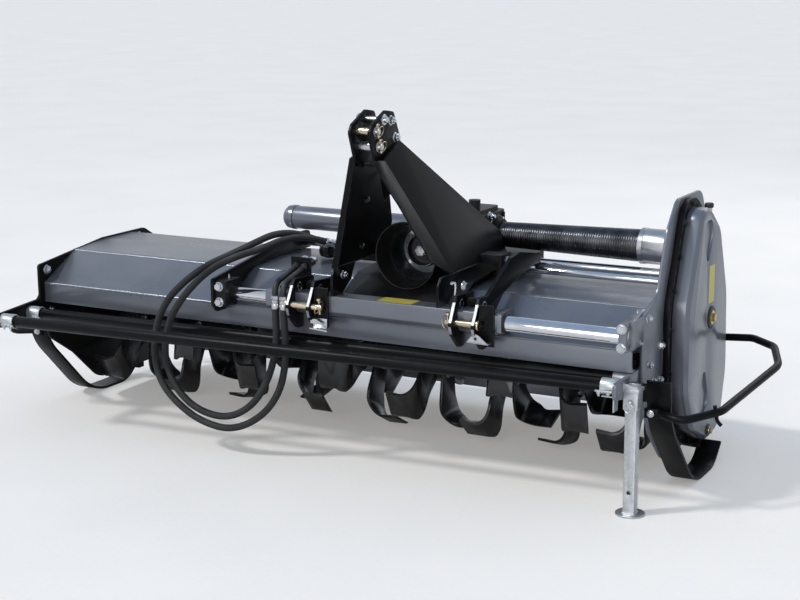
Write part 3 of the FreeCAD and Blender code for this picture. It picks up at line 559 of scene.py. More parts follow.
@dataclass
class Hoses:
    """The two hydraulic hoses from the side-shift ram to the parked couplers."""

    diameter: float = 0.024
    routes: dict[str, list[tuple[float, float, float]]] = field(default_factory=lambda: {
        "hose_1": [
            (-145, -16, 663), (-193, -88, 705), (-245, -179, 717), (-286, -274, 687), (-324, -358, 660),
            (-357, -418, 640), (-388, -457, 613), (-429, -483, 575), (-477, -493, 525), (-521, -491, 460),
            (-548, -482, 389), (-557, -480, 309), (-534, -485, 228), (-470, -489, 162), (-365, -493, 106),
            (-239, -488, 88), (-131, -467, 144), (-69, -449, 232), (-49, -438, 337), (-48, -440, 414),
            (-51, -442, 482), (-51, -442, 548),
        ],
        "hose_2": [
            (-105, -16, 663), (-163, -88, 695), (-212, -172, 699), (-249, -262, 674), (-284, -345, 663),
            (-321, -417, 641), (-348, -461, 614), (-383, -488, 573), (-431, -494, 518), (-482, -485, 449),
            (-513, -476, 367), (-512, -477, 282), (-462, -482, 197), (-374, -487, 140), (-256, -484, 127),
            (-164, -473, 180), (-111, -464, 262), (-86, -453, 344), (-79, -444, 416), (-83, -442, 482),
            (-83, -442, 548),
        ],
    })
    lengths: dict[str, float] = field(default_factory=lambda: {"hose_1": 1.86, "hose_2": 1.72})

    def build(self) -> None:
        """Lay both hoses."""
        for name, rows in self.routes.items():
            self.lay(name, [at(*row) for row in rows])

    def lay(self, name: str, points: list[Vector]) -> None:
        """Lay one hose along its route.

        Args:
            name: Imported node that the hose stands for.
            points: The route, port to coupler.
        """
        data = bpy.data.curves.new(name + "_run", "CURVE")
        data.dimensions = "3D"
        data.bevel_depth = self.diameter / 2
        data.bevel_resolution = 8
        data.resolution_u = 10
        data.use_fill_caps = True
        spline = data.splines.new("NURBS")
        spline.points.add(len(points) - 1)
        for control, point in zip(spline.points, points):
            control.co = (*point, 1.0)
        spline.order_u = 3
        spline.use_endpoint_u = True
        data.materials.append(Finishes.get(Finish.HOSE))
        hose = bpy.data.objects.new(name + "_run", data)
        bpy.context.scene.collection.objects.link(hose)
        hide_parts(name)
        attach(hose, "headstock")
        LOG.info("laid %s", name)


class Axis(Enum):
    """Directions that fasteners and turned parts point in."""

    RIGHT = (1.0, 0.0, 0.0)
    LEFT = (-1.0, 0.0, 0.0)
    FRONT = (0.0, -1.0, 0.0)
    REAR = (0.0, 1.0, 0.0)
    UP = (0.0, 0.0, 1.0)
    DOWN = (0.0, 0.0, -1.0)


Point = tuple[float, float, float]
Flat = tuple[float, float]


class Forge:
    """Shapes of one piece, gathered in a single mesh in the frame's metres."""

    def __init__(self, name: str) -> None:
        """Start an empty piece.

        Args:
            name: The piece's name.
        """
        self.name = name
        self.mesh = bmesh.new()

    def take(self, part: bmesh.types.BMesh, place: Matrix) -> None:
        """Move a finished shape to its place and add it to the piece.

        Args:
            part: The shape, freed afterwards.
            place: Where it goes.
        """
        bmesh.ops.remove_doubles(part, verts=part.verts, dist=1e-6)
        part.transform(place)
        bmesh.ops.recalc_face_normals(part, faces=part.faces)
        data = bpy.data.meshes.new("part")
        part.to_mesh(data)
        part.free()
        self.mesh.from_mesh(data)
        bpy.data.meshes.remove(data)

    @staticmethod
    def facing(place: Point, way: Axis | Vector, twist: float = 0.0) -> Matrix:
        """Matrix that stands a shape's own Z along a direction.

        Args:
            place: Foot of the shape, in drawing millimetres.
            way: Direction of its Z.
            twist: Turn about that direction, in degrees.

        Returns:
            The placing matrix.
        """
        direction = Vector(way.value) if isinstance(way, Axis) else Vector(way).normalized()
        turn = direction.to_track_quat("Z", "Y").to_matrix().to_4x4()
        return Matrix.Translation(at(*place)) @ turn @ Matrix.Rotation(math.radians(twist), 4, "Z")

    def lathe(self, place: Point, way: Axis | Vector, profile: list[Flat], steps: int = 20) -> None:
        """Turn a section of (radius, height) about an axis.

        Args:
            place: Foot of the axis, in drawing millimetres.
            way: Direction of the axis.
            profile: Points in millimetres; the first and last close on the axis if their radius is 0.
            steps: Sides of the turned shape.
        """
        part = bmesh.new()
        verts = [part.verts.new((radius * MM, 0.0, height * MM)) for radius, height in profile]
        edges = [part.edges.new(pair) for pair in zip(verts, verts[1:])]
        bmesh.ops.spin(
            part, geom=verts + edges, cent=(0, 0, 0), axis=(0, 0, 1), angle=math.tau, steps=steps,
            use_merge=True,
        )
        self.take(part, self.facing(place, way))

    def ring(self, place: Point, way: Axis | Vector, outer: float, inner: float, high: float, edge: float) -> None:
        """Flat ring with softened outer rims, such as a washer."""
        self.lathe(place, way, [
            (inner, 0), (outer, 0), (outer, high - edge), (outer - edge, high), (inner, high), (inner, 0),
        ])

    def disc(self, place: Point, way: Axis | Vector, radius: float, high: float, edge: float) -> None:
        """Closed disc or pin with a softened outer rim."""
        self.lathe(place, way, [(0, 0), (radius, 0), (radius, high - edge), (radius - edge, high), (0, high)])

    def hexagon(self, place: Point, way: Axis | Vector, across: float, high: float, twist: float = 0.0) -> None:
        """Hexagonal head or nut.

        Args:
            place: Foot of the head, in drawing millimetres.
            way: Direction it stands in.
            across: Width across its flats.
            high: Its height.
            twist: Turn about its own axis, in degrees.
        """
        part = bmesh.new()
        radius = across / math.sqrt(3) * MM
        bmesh.ops.create_cone(
            part, cap_ends=True, segments=6, radius1=radius, radius2=radius, depth=high * MM,
            matrix=Matrix.Translation((0, 0, high * MM / 2)),
        )
        top = [edge for edge in part.edges if all(vert.co.z > high * MM * 0.9 for vert in edge.verts)]
        bmesh.ops.bevel(
            part, geom=top, offset=across * 0.07 * MM, segments=1, profile=0.5, affect="EDGES", material=-1,
        )
        self.take(part, self.facing(place, way, twist))

    def bolt(self, place: Point, way: Axis | Vector, size: float, twist: float = 10.0, tail: float = 0.0) -> None:
        """Hex head or nut on a washer.

        Args:
            place: Foot of the washer, in drawing millimetres.
            way: Direction the head stands in.
            size: Thread diameter.
            twist: Turn of the hexagon, in degrees.
            tail: Length of thread that stands out of a nut.
        """
        direction = Vector(way.value) if isinstance(way, Axis) else Vector(way).normalized()
        foot = Vector(place)
        washer = size * 0.16
        self.ring(place, way, size * 1.05, size * 0.5, washer, size * 0.05)
        self.hexagon(tuple(foot + direction * washer), way, size * 1.5, size * 0.64, twist)
        end = size * 0.64 + washer
        if tail:
            self.disc(tuple(foot + direction * (end - 0.5)), way, size * 0.46, tail, size * 0.1)

    def block(self, low: Point, high: Point, edge: float = 1.0, turn: Matrix | None = None) -> None:
        """Box with softened edges between two corners, in drawing millimetres.

        Args:
            low: Lowest corner.
            high: Highest corner.
            edge: Width of the softened edges.
            turn: Turn about the box's middle.
        """
        part = bmesh.new()
        size = [(b - a) * MM for a, b in zip(low, high)]
        bmesh.ops.create_cube(part, size=1.0, matrix=Matrix.Diagonal((*size, 1.0)))
        if edge:
            bmesh.ops.bevel(
                part, geom=part.edges[:], offset=edge * MM, segments=2, profile=0.5, affect="EDGES", material=-1,
            )
        middle = Matrix.Translation(at(*[(a + b) / 2 for a, b in zip(low, high)]))
        self.take(part, middle @ turn if turn else middle)

    def plate(self, rows: list[Point], depth: Vector, edge: float = 0.8) -> None:
        """Flat plate from the corners of one face and its thickness.

        Args:
            rows: Corners of the face, in drawing millimetres.
            depth: Thickness and its direction, in millimetres.
            edge: Width of the softened edges.
        """
        part = bmesh.new()
        face = part.faces.new([part.verts.new(at(*row)) for row in rows])
        grown = bmesh.ops.extrude_face_region(part, geom=[face])["geom"]
        moved = [item for item in grown if isinstance(item, bmesh.types.BMVert)]
        bmesh.ops.translate(part, verts=moved, vec=depth * MM)
        if edge:
            bmesh.ops.bevel(
                part, geom=part.edges[:], offset=edge * MM, segments=1, profile=0.5, affect="EDGES", material=-1,
            )
        self.take(part, Matrix.Identity(4))

    def wire(
        self, rows: list[Point], radius: float, closed: bool = False, smooth: bool = True,
        ripple: float = 0.0, sides: int = 2,
    ) -> None:
        """Round wire, rod or bead along points.

        Args:
            rows: The points, in drawing millimetres.
            radius: Half its thickness.
            closed: Whether it runs back to its start.
            smooth: Whether it rounds its corners.
            ripple: Share by which every second point is thinner, as in a weld bead.
            sides: Blender's bevel resolution.
        """
        data = bpy.data.curves.new("wire", "CURVE")
        data.dimensions = "3D"
        data.bevel_depth = radius * MM
        data.bevel_resolution = sides
        data.resolution_u = 6
        data.use_fill_caps = True
        spline = data.splines.new("NURBS" if smooth else "POLY")
        spline.points.add(len(rows) - 1)
        for index, (point, row) in enumerate(zip(spline.points, rows)):
            point.co = (*at(*row), 1.0)
            point.radius = 1.0 - ripple * (index % 2)
        if smooth:
            spline.order_u = 3
            spline.use_endpoint_u = not closed
        spline.use_cyclic_u = closed
        curve = bpy.data.objects.new("wire", data)
        bpy.context.scene.collection.objects.link(curve)
        bpy.context.view_layer.update()
        ready = curve.evaluated_get(bpy.context.evaluated_depsgraph_get())
        mesh = bpy.data.meshes.new_from_object(ready)
        part = bmesh.new()
        part.from_mesh(mesh)
        bpy.data.meshes.remove(mesh)
        bpy.data.objects.remove(curve)
        bpy.data.curves.remove(data)
        self.take(part, Matrix.Identity(4))

    def bead(self, rows: list[Point], radius: float = 3.2, pitch: float = 3.5) -> None:
        """Weld bead along straight runs between points.

        Args:
            rows: Corners of the seam, in drawing millimetres.
            radius: Half the bead's width.
            pitch: Distance between two ripples.
        """
        marks: list[Point] = []
        for start, end in zip(rows, rows[1:]):
            a, b = Vector(start), Vector(end)
            count = max(2, int((b - a).length / pitch))
            marks += [tuple(a.lerp(b, index / count)) for index in range(count)]
        marks.append(rows[-1])
        self.wire(marks, radius, smooth=False, ripple=0.28, sides=1)

    def arc(self, middle: Point, across: Vector, up: Vector, radius: float, start: float, end: float,
            count: int = 10) -> list[Point]:
        """Points of an arc.

        Args:
            middle: Its centre, in drawing millimetres.
            across: Direction of its zero angle.
            up: Direction of its right angle.
            radius: Its radius.
            start: First angle, in degrees.
            end: Last angle, in degrees.
            count: Number of steps.

        Returns:
            The points, in drawing millimetres.
        """
        rows = []
        for index in range(count + 1):
            angle = math.radians(start + (end - start) * index / count)
            point = Vector(middle) + (across * math.cos(angle) + up * math.sin(angle)) * radius
            rows.append(tuple(point))
        return rows

    def finish(self, finish: Finish, slot: str, body: str | None) -> bpy.types.Object:
        """Make the piece's object, dressed and riding on its body.

        Args:
            finish: Its finish.
            slot: The record's material slot; not used.
            body: The body it rides on, or none to leave it on no body.

        Returns:
            The piece.
        """
        data = bpy.data.meshes.new(self.name)
        self.mesh.to_mesh(data)
        self.mesh.free()
        data.polygons.foreach_set("use_smooth", [True] * len(data.polygons))
        data.set_sharp_from_angle(angle=math.radians(38))
        data.materials.append(Finishes.get(finish))
        piece = bpy.data.objects.new(self.name, data)
        bpy.context.scene.collection.objects.link(piece)
        if body:
            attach(piece, body)
        LOG.info("made %s with %d faces", self.name, len(data.polygons))
        return piece


UP = Vector((0.0, 0.0, 1.0))
ALONG = Vector((1.0, 0.0, 0.0))
BACK = Vector((0.0, 1.0, 0.0))


@dataclass
class FrameFasteners:
    """Bolts, nuts and washers on the hood, end plates and rod brackets."""

    # place, direction, thread size, turn of the head, length of thread that stands out
    rows: list[tuple[Point, Axis, float, float, float]] = field(default_factory=lambda: [
        ((-314, -430, 567), Axis.FRONT, 16, 8, 0), ((-314, -430, 514), Axis.FRONT, 16, 35, 0),
        ((1116, -432, 572), Axis.FRONT, 15, 20, 0), ((1116, -432, 514), Axis.FRONT, 15, 50, 0),
        ((1139, -266, 573), Axis.RIGHT, 14, 5, 5), ((1139, -243, 424), Axis.RIGHT, 14, 25, 5),
        ((1139, -137, 462), Axis.RIGHT, 14, 45, 5), ((1139, -198, 363), Axis.RIGHT, 12, 15, 4),
        ((1139, -132, 352), Axis.RIGHT, 12, 15, 4), ((1139, -134, 311), Axis.RIGHT, 14, 15, 4),
        ((1129, -281, 344), Axis.RIGHT, 9, 15, 3), ((1129, -203, 340), Axis.RIGHT, 9, 35, 6),
        ((-1129, -352, 541), Axis.RIGHT, 16, 12, 6), ((-1129, 199, 580), Axis.RIGHT, 16, 40, 6),
        ((-1139, -352, 541), Axis.LEFT, 16, 12, 0), ((-1139, 199, 580), Axis.LEFT, 16, 40, 0),
        ((-1129, -336, 392), Axis.RIGHT, 10, 12, 4), ((-340, -405, 520), Axis.LEFT, 14, 12, 4),
        ((-340, -405, 568), Axis.LEFT, 14, 30, 4), ((-340, -350, 560), Axis.LEFT, 14, 50, 4),
    ])
    bearing_bolts: int = 6
    fold_radius: float = 7.0

    def build(self) -> None:
        """Make the bolts and the seams of the frame."""
        bolts = Forge("frame_bolts")
        for place, way, size, twist, tail in self.rows:
            bolts.bolt(place, way, size, twist, tail)
        for index in range(self.bearing_bolts):
            angle = math.tau * index / self.bearing_bolts + 0.3
            place = (-1151.0, 110 + 73 * math.cos(angle), 280 + 73 * math.sin(angle))
            bolts.bolt(place, Axis.LEFT, 12, index * 17, 3)
        for x in (-880, 0, 880):
            for shift in (-45, -17):
                bolts.disc((x + shift, 411, 409), Vector((0, 0.75, 0.66)), 6, 3, 1)
        bolts.finish(Finish.ZINC, "galvanised", "frame")
        self.folds()
        self.seams()
        self.grease_points()

    def folds(self) -> None:
        """Rounded outside of the hood's folds, which catches the light."""
        folds = Forge("hood_folds")
        # y, z, turn of the sheet and direction of the fold's outside, in degrees
        for y, z, turn, outside in ((-366, 495, 61, 149.5), (-190, 591, 25, 106.5)):
            depth = (self.fold_radius - 0.9) / math.cos(math.radians(turn / 2))
            angle = math.radians(outside)
            low = (y - depth * math.cos(angle), z - depth * math.sin(angle))
            folds.wire([(-1128, *low), (1106, *low)], self.fold_radius, smooth=False, sides=8)
        folds.finish(Finish.GRAPHITE, "graphite_paint", "frame")

    def seams(self) -> None:
        """Weld beads where plates meet the hood and the arms."""
        beads = Forge("frame_weld_beads")
        beads.bead([(-329, -362, 500), (-329, -195, 594), (-329, -8, 606), (-329, 150, 606)])
        beads.bead([(-341, -362, 500), (-341, -195, 594), (-341, -8, 606), (-341, 150, 606)])
        beads.bead([(1106, -362, 500), (1106, -245, 564)])
        beads.bead([(-1128, -364, 440), (-1128, -364, 496), (-1128, -195, 590), (-1128, -8, 603)], 2.6)
        beads.bead([(1128, -364, 440), (1128, -364, 496), (1128, -195, 590), (1128, -8, 603)], 2.6)
        beads.bead([(-340, 92, 668), (-330, 92, 668)], 2.4)
        for side in (-1, 1):
            beads.bead([(side * 1140, -328, 332), (side * 1165, -328, 332)], 2.4)
            beads.bead([(side * 1140, -280, 372), (side * 1165, -280, 372)], 2.4)
        beads.finish(Finish.BLACK, "black_paint", "frame")

    def grease_points(self) -> None:
        """Grease nipples on the bearing housing and the rod blocks."""
        nipples = Forge("grease_nipples")
        for place, way in (
            ((-1168, 110, 345), Axis.UP), ((1118, -300, 590), Axis.UP), ((-312, -372, 585), Axis.UP),
        ):
            nipples.hexagon(place, way, 9, 5)
            nipples.lathe(place, way, [(0, 4), (3, 5), (3, 9), (1.8, 11), (2.6, 13), (2.2, 15), (0, 15.6)], 12)
        nipples.finish(Finish.ZINC, "galvanised", "frame")


@dataclass
class DriveCase:
    """Seal line, plugs, blank film and rim bolts of the side drive case."""

    flange: list[Flat] = field(default_factory=lambda: [
        (20, 880), (118, 882), (229, 799), (331, 565), (354, 287), (295, 86), (147, 68), (-30, 147),
        (-103, 295), (-107, 573),
    ])
    face_x: float = 1213.0

    def build(self) -> None:
        """Make the case's small parts."""
        self.seal()
        self.rim_bolts()
        self.inspection_plug()
        self.breather()
        film = Forge("case_blank_film")
        film.plate(
            [(self.face_x, 107, 553), (self.face_x, 163, 553), (self.face_x, 163, 676), (self.face_x, 107, 676)],
            ALONG * 0.5, 0.0,
        )
        film.finish(Finish.STICKER, "yellow_zinc", "frame")

    def seal(self) -> None:
        """Thin line of sealant squeezed out round the flange's joint."""
        rows = [(y + (y - 120) * 0.055, z + (z - 480) * 0.036) for y, z in self.flange]
        for name, x, radius, finish, slot in (
            ("case_seal_line", 1139.6, 1.6, Finish.SEALANT, "case_paint"),
            ("case_joint_bead", 1158.6, 1.8, Finish.BLACK, "case_paint"),
        ):
            line = Forge(name)
            line.wire([(x, y, z) for y, z in self.soften(rows)], radius, closed=True, smooth=True, sides=1)
            line.finish(finish, slot, "frame")

    @staticmethod
    def soften(rows: list[Flat]) -> list[Flat]:
        """Add points beside each corner, so that the curve keeps near the outline."""
        marks = []
        for index, (y, z) in enumerate(rows):
            for other in (index - 1, (index + 1) % len(rows)):
                marks.append((y + (rows[other][0] - y) * 0.16, z + (rows[other][1] - z) * 0.16))
        return marks

    def rim_bolts(self) -> None:
        """Bolts round the case's flange."""
        bolts = Forge("case_rim_bolts")
        count = len(self.flange)
        for index in range(count):
            a, b = Vector(self.flange[index]), Vector(self.flange[(index + 1) % count])
            steps = max(1, round((b - a).length / 120))
            for step in range(steps):
                spot = a.lerp(b, (step + 0.5) / steps)
                bolts.bolt((1159, spot.x, spot.y), Axis.RIGHT, 9, index * 23 + step * 11, 2)
        bolts.finish(Finish.BLACK, "black_paint", "frame")

    def inspection_plug(self) -> None:
        """Level plug in a round dark seat, and the drain plug."""
        seat = Forge("level_plug_seat")
        seat.ring((self.face_x, 138, 503), Axis.RIGHT, 37, 16, 5, 2)
        seat.ring((self.face_x, 150, 120), Axis.RIGHT, 20, 12.5, 3, 1)
        seat.finish(Finish.RUBBER, "black_paint", "frame")
        plug = Forge("level_plug")
        plug.ring((self.face_x + 5, 138, 503), Axis.RIGHT, 24, 15.2, 2.5, 1)
        plug.hexagon((self.face_x + 8, 138, 503), Axis.RIGHT, 26, 9, 14)
        plug.hexagon((self.face_x + 8, 150, 120), Axis.RIGHT, 20, 6, 5)
        plug.finish(Finish.BRASS, "yellow_zinc", "frame")

    def breather(self) -> None:
        """Cap with a knurled rim on the filler neck."""
        cap = Forge("breather_cap")
        cap.lathe((1186, 165, 856), Axis.UP, [(0, 0), (13, 0), (14.5, 2), (14.5, 12), (12.5, 15), (0, 16)], 18)
        cap.finish(Finish.RUBBER, "black_paint", "frame")


@dataclass
class GuardDetails:
    """Saddles, U-bolts and brackets that hold the two guard bars and the side guards."""

    # middle of the bar at each clamp: x, y, and the arm's side
    clamps: list[tuple[float, float, int]] = field(default_factory=lambda: [
        (1078, -333.5, 1), (1078, -441, 1), (-1098, -438, -1), (-1098, -579.5, -1),
    ])
    bar_z: float = 397.0

    def build(self) -> None:
        """Make the clamps' fittings."""
        metal = Forge("clamp_saddles")
        for x, y, side in self.clamps:
            self.saddle(metal, x, y)
        metal.plate(
            [(1068, -458, 371), (1068, -424, 371), (1108, -424, 371), (1108, -458, 371)], UP * -4, 0.6,
        )
        metal.plate(
            [(1108, -458, 371), (1108, -424, 371), (1108, -424, 322), (1108, -458, 322)], ALONG * -4, 0.6,
        )
        metal.finish(Finish.GALVANISED, "galvanised", "frame")
        self.side_guards()

    def saddle(self, metal: Forge, x: float, y: float) -> None:
        """Lips under one half shell, with their bolts."""
        for reach in (-31, 24):
            metal.block((x - 27, y + reach, 384), (x + 27, y + reach + 7, 390), 1.2)
        for shift in (-15, 15):
            metal.hexagon((x + shift, y - 28, 384), Axis.DOWN, 12, 6, 8)
            metal.disc((x + shift, y - 28, 379), Axis.DOWN, 3.5, 8, 0.8)

    def side_guards(self) -> None:
        """Bolted feet, hooks and end collars of the side guards."""
        feet = Forge("side_guard_feet")
        for side in (-1, 1):
            feet.ring((side * 1139, 385, 378), Axis.RIGHT if side > 0 else Axis.LEFT, 21, 12.6, 8, 2)
            feet.block((min(side * 1166, side * 1210), -355, 288), (max(side * 1166, side * 1210), -341, 318), 2)
        hook = [(1362, -287, 334), (1366, -285, 318), (1367, -284, 300), (1371, -281, 283), (1381, -276, 272)]
        feet.wire(hook, 6, sides=3)
        feet.finish(Finish.BLACK, "black_paint", "frame")
        studs = Forge("side_guard_studs")
        for side in (-1, 1):
            studs.bolt((side * 1186, -355, 303), Axis.FRONT, 11, 10, 3)
        studs.finish(Finish.ZINC, "galvanised", "frame")


@dataclass
class StandDetails:
    """Locking pin, collar and welds of the stand leg."""

    x: float = 1151.9
    y: float = -416.7

    def build(self) -> None:
        """Make the stand's small parts."""
        collar = Forge("stand_collar")
        half = 22.9
        for low, high in (((-half - 3, -half - 3), (half + 3, -half)), ((-half - 3, half), (half + 3, half + 3))):
            collar.block((self.x + low[0], self.y + low[1], 384), (self.x + high[0], self.y + high[1], 396), 0.8)
        collar.block((self.x + half, self.y - half, 384), (self.x + half + 3, self.y + half, 396), 0.8)
        collar.plate([
            (self.x - half, self.y - half - 3.5, 396), (self.x + half, self.y - half - 3.5, 396),
            (self.x + half, self.y - half - 3.5, 403), (self.x - half, self.y - half - 3.5, 412),
        ], BACK * 3, 0.5)
        collar.finish(Finish.GALVANISED, "galvanised", "frame")
        pin = Forge("stand_locking_pin")
        pin.disc((self.x, self.y - half - 14, 352), Axis.REAR, 6, 13.6, 1)
        pin.ring((self.x, self.y - half - 6, 352), Axis.FRONT, 10, 6.2, 3, 0.6)
        pin.wire(pin.arc((self.x, self.y - half - 11, 338), ALONG, UP, 14, 0, 330, 14), 1.7, closed=True)
        pin.finish(Finish.ZINC, "galvanised", "frame")
        seam = Forge("stand_weld_bead")
        seam.bead([
            (self.x - 18, self.y - 18, 7), (self.x + 18, self.y - 18, 7), (self.x + 18, self.y + 18, 7),
            (self.x - 18, self.y + 18, 7), (self.x - 18, self.y - 18, 7),
        ], 2.4)
        seam.finish(Finish.GALVANISED, "galvanised", "stand")


@dataclass
class RotorBolts:
    """Pairs of bolts that hold each blade to its flange."""

    flanges: int = 9
    first_x: float = -1005.0
    pitch: float = 255.0
    spread: float = 13.0

    def build(self) -> None:
        """Bolt every blade on."""
        bolts = Forge("blade_bolts")
        for index in range(self.flanges):
            x = self.first_x + index * self.pitch
            for step in range(6):
                is_left = step % 2 == 1 or index == self.flanges - 1
                angle = math.radians(step * 60 + index * 23)
                for shift in (-self.spread, self.spread):
                    self.pair(bolts, x, angle, shift, is_left)
        bolts.finish(Finish.ZINC, "galvanised", "rotor")

    def pair(self, bolts: Forge, x: float, angle: float, shift: float, is_left: bool) -> None:
        """One bolt: its head on the blade and its nut on the flange."""
        down, over = -72.0, shift * 1.25
        y = 110 + over * math.cos(angle) - down * math.sin(angle)
        z = 280 + over * math.sin(angle) + down * math.cos(angle)
        blade, nut = (Axis.LEFT, Axis.RIGHT) if is_left else (Axis.RIGHT, Axis.LEFT)
        sign = -1 if is_left else 1
        bolts.hexagon((x + sign * 15, y, z), blade, 19, 8, 20)
        bolts.hexagon((x - sign * 6, y, z), nut, 19, 10, 50)


@dataclass
class HitchDetails:
    """Painted edge highlights, pins, clips and small plates of the two lower link brackets."""

    centres: dict[str, float] = field(default_factory=lambda: {"left": 17.0, "right": 609.0})
    ear_inner: float = 33.0
    ear_outer: float = 45.0
    pin: Flat = (-446.0, 538.0)
    hole: Flat = (-394.0, 589.0)

    def build(self) -> None:
        """Make both brackets' small parts."""
        for name, centre in self.centres.items():
            side = -1 if name == "left" else 1
            self.bushes(name, centre)
            reach = self.ear_outer + (27 if name == "left" else 9)
            self.clip(name, centre - side * reach, -side)
        self.edges()
        nose = Forge("left_pin_nose")
        nose.disc((79.5, *self.pin), Axis.RIGHT, 10.8, 20, 2)
        nose.finish(Finish.YELLOW_ZINC, "yellow_zinc", "headstock")
        self.zinc_plates()
        self.seams()
        self.right_extras()

    def bushes(self, name: str, centre: float) -> None:
        """Bright worn rims in the upper holes and round the pins."""
        rims = Forge(name + "_hole_rims")
        for sign in (-1, 1):
            way = Axis.RIGHT if sign > 0 else Axis.LEFT
            for face in (self.ear_inner, self.ear_outer):
                turned = way if face == self.ear_outer else (Axis.LEFT if sign > 0 else Axis.RIGHT)
                rims.ring((centre + sign * face, *self.hole), turned, 14.5, 11.2, 0.8, 0.3)
        rims.finish(Finish.ZINC, "galvanised", "headstock")

    def edges(self) -> None:
        """Pale strips on the front edges of the ears and of the mast's foot: a painted highlight where the light
        catches them.
        """
        edges = Forge("ear_front_edge_highlights")
        for centre in self.centres.values():
            for low in (centre - self.ear_outer, centre + self.ear_inner):
                for start, end in (((-427, 614), (-467, 541)), ((-469.4, 529), (-460, 504))):
                    (y1, z1), (y2, z2) = start, end
                    rows = [(low + 1.5, y1, z1), (low + 10.5, y1, z1), (low + 10.5, y2, z2), (low + 1.5, y2, z2)]
                    edges.plate(rows, Vector((0, z2 - z1, y1 - y2)).normalized() * 0.8, 0.0)
        edges.plate([(114, -409, 656), (121, -409, 656), (121, -391, 580), (114, -391, 580)], BACK * -1, 0.0)
        # The pale strips are a painted highlight on the edges.
        edges.finish(Finish.EDGE_HIGHLIGHT, "turned_steel", "headstock")

    def clip(self, name: str, x: float, side: int) -> None:
        """Linchpin through the link pin's end, with its sprung ring."""
        clip = Forge(name + "_linchpin")
        y, z = self.pin
        clip.disc((x, y - 4, z + 26), Vector((0, 0.12, -1)), 4, 50, 1.2)
        clip.lathe((x, y - 4, z + 22), Vector((0, 0.12, -1)), [(0, -10), (7, -9), (8, -4), (5, 0), (0, 1)], 16)
        tilt = Vector((side * 0.35, 0.2, 0.92)).normalized()
        clip.wire(clip.arc((x + side * 4, y - 12, z + 2), BACK, tilt, 21, 0, 335, 18), 2.2, closed=True)
        clip.finish(Finish.YELLOW_ZINC, "yellow_zinc", "headstock")

    def zinc_plates(self) -> None:
        """Folded plates under the left bracket and the drilled plate under the right one."""
        folded = Forge("left_folded_plates")
        folded.plate([(56, -452, 497), (76, -452, 501), (112, -452, 482), (58, -452, 484)], BACK * 5, 0.6)
        folded.plate([(56, -458, 471), (122, -458, 467), (122, -436, 463), (56, -436, 467)], UP * -5, 0.6)
        folded.block((58, -437, 466), (110, -433, 500), 0.6)
        folded.finish(Finish.ZINC, "galvanised", "headstock")
        drilled = Forge("right_drilled_plate")
        drilled.plate(
            [(624, -461, 486), (640, -461, 505), (655, -461, 514), (668, -461, 508), (697, -461, 484)], BACK * 4, 0.6,
        )
        drilled.plate([(624, -461, 488), (697, -461, 486), (697, -433, 484), (624, -433, 486)], UP * -4, 0.6)
        drilled.ring((655, -461.2, 499), Axis.FRONT, 8.5, 5.5, 1.0, 0.3)
        drilled.finish(Finish.ZINC, "galvanised", "headstock")
        # Thin black disc inside the drilled ring: painted shade standing for the hole.
        hole = Forge("right_plate_hole_shade")
        hole.disc((655, -461.1, 499), Axis.FRONT, 5.4, 0.3, 0.1)
        hole.finish(Finish.RUBBER, "black_paint", "headstock")

    def seams(self) -> None:
        """Weld beads round the ears, cheeks and end plate."""
        beads = Forge("hitch_weld_beads")
        for centre in self.centres.values():
            for face in (-self.ear_outer - 1, self.ear_outer + 1):
                beads.bead([(centre + face, -418, 575.5), (centre + face, -356, 575.5)], 2.8)
            beads.bead([(centre + 47, -425, 576), (centre + 92, -425, 576)], 2.6)
            beads.bead([(centre + 47, -425, 512), (centre + 92, -425, 512)], 2.6)
        beads.bead([(702, -420, 575), (702, -356, 575)], 2.6)
        for x in (125, 501):
            beads.bead([(x, -418, 576), (x, -362, 576)], 3)
        beads.bead([(102, -352, 548), (524, -352, 548)], 3)
        beads.finish(Finish.SHADED_BLACK, "black_paint", "headstock")

    def right_extras(self) -> None:
        """Hook pin, cross tie and bolts between the right mast and its bracket."""
        bright = Forge("right_bracket_bolts")
        bright.bolt((576.2, -383, 642), Axis.RIGHT, 16, 10)
        bright.bolt((580.2, -64, 668), Axis.RIGHT, 15, 25)
        bright.bolt((118 + 9, -360, 634), Axis.RIGHT, 14, 30, 8)
        bright.finish(Finish.ZINC, "galvanised", "headstock")
        hook = Forge("right_hook_pin")
        hook.wire([
            (545, -404, 652), (550, -400, 655), (556, -398, 650), (556, -398, 636), (555, -400, 606), (556, -402, 580),
        ], 4, sides=3)
        hook.lathe((542, -405, 650), Vector((1, 0.3, 0.5)), [(0, 0), (5, 1), (6.5, 5), (5, 9), (0, 10)], 14)
        hook.finish(Finish.ZINC, "galvanised", "headstock")
        tie = Forge("mast_cross_tie")
        tie.block((502, -108, 686), (576, -40, 692), 1.0)
        tie.block((502, -108, 664), (576, -102, 688), 1.0)
        tie.block((570, -112, 604), (580, -30, 694), 1.5)
        tie.finish(Finish.SHADED_BLACK, "black_paint", "headstock")


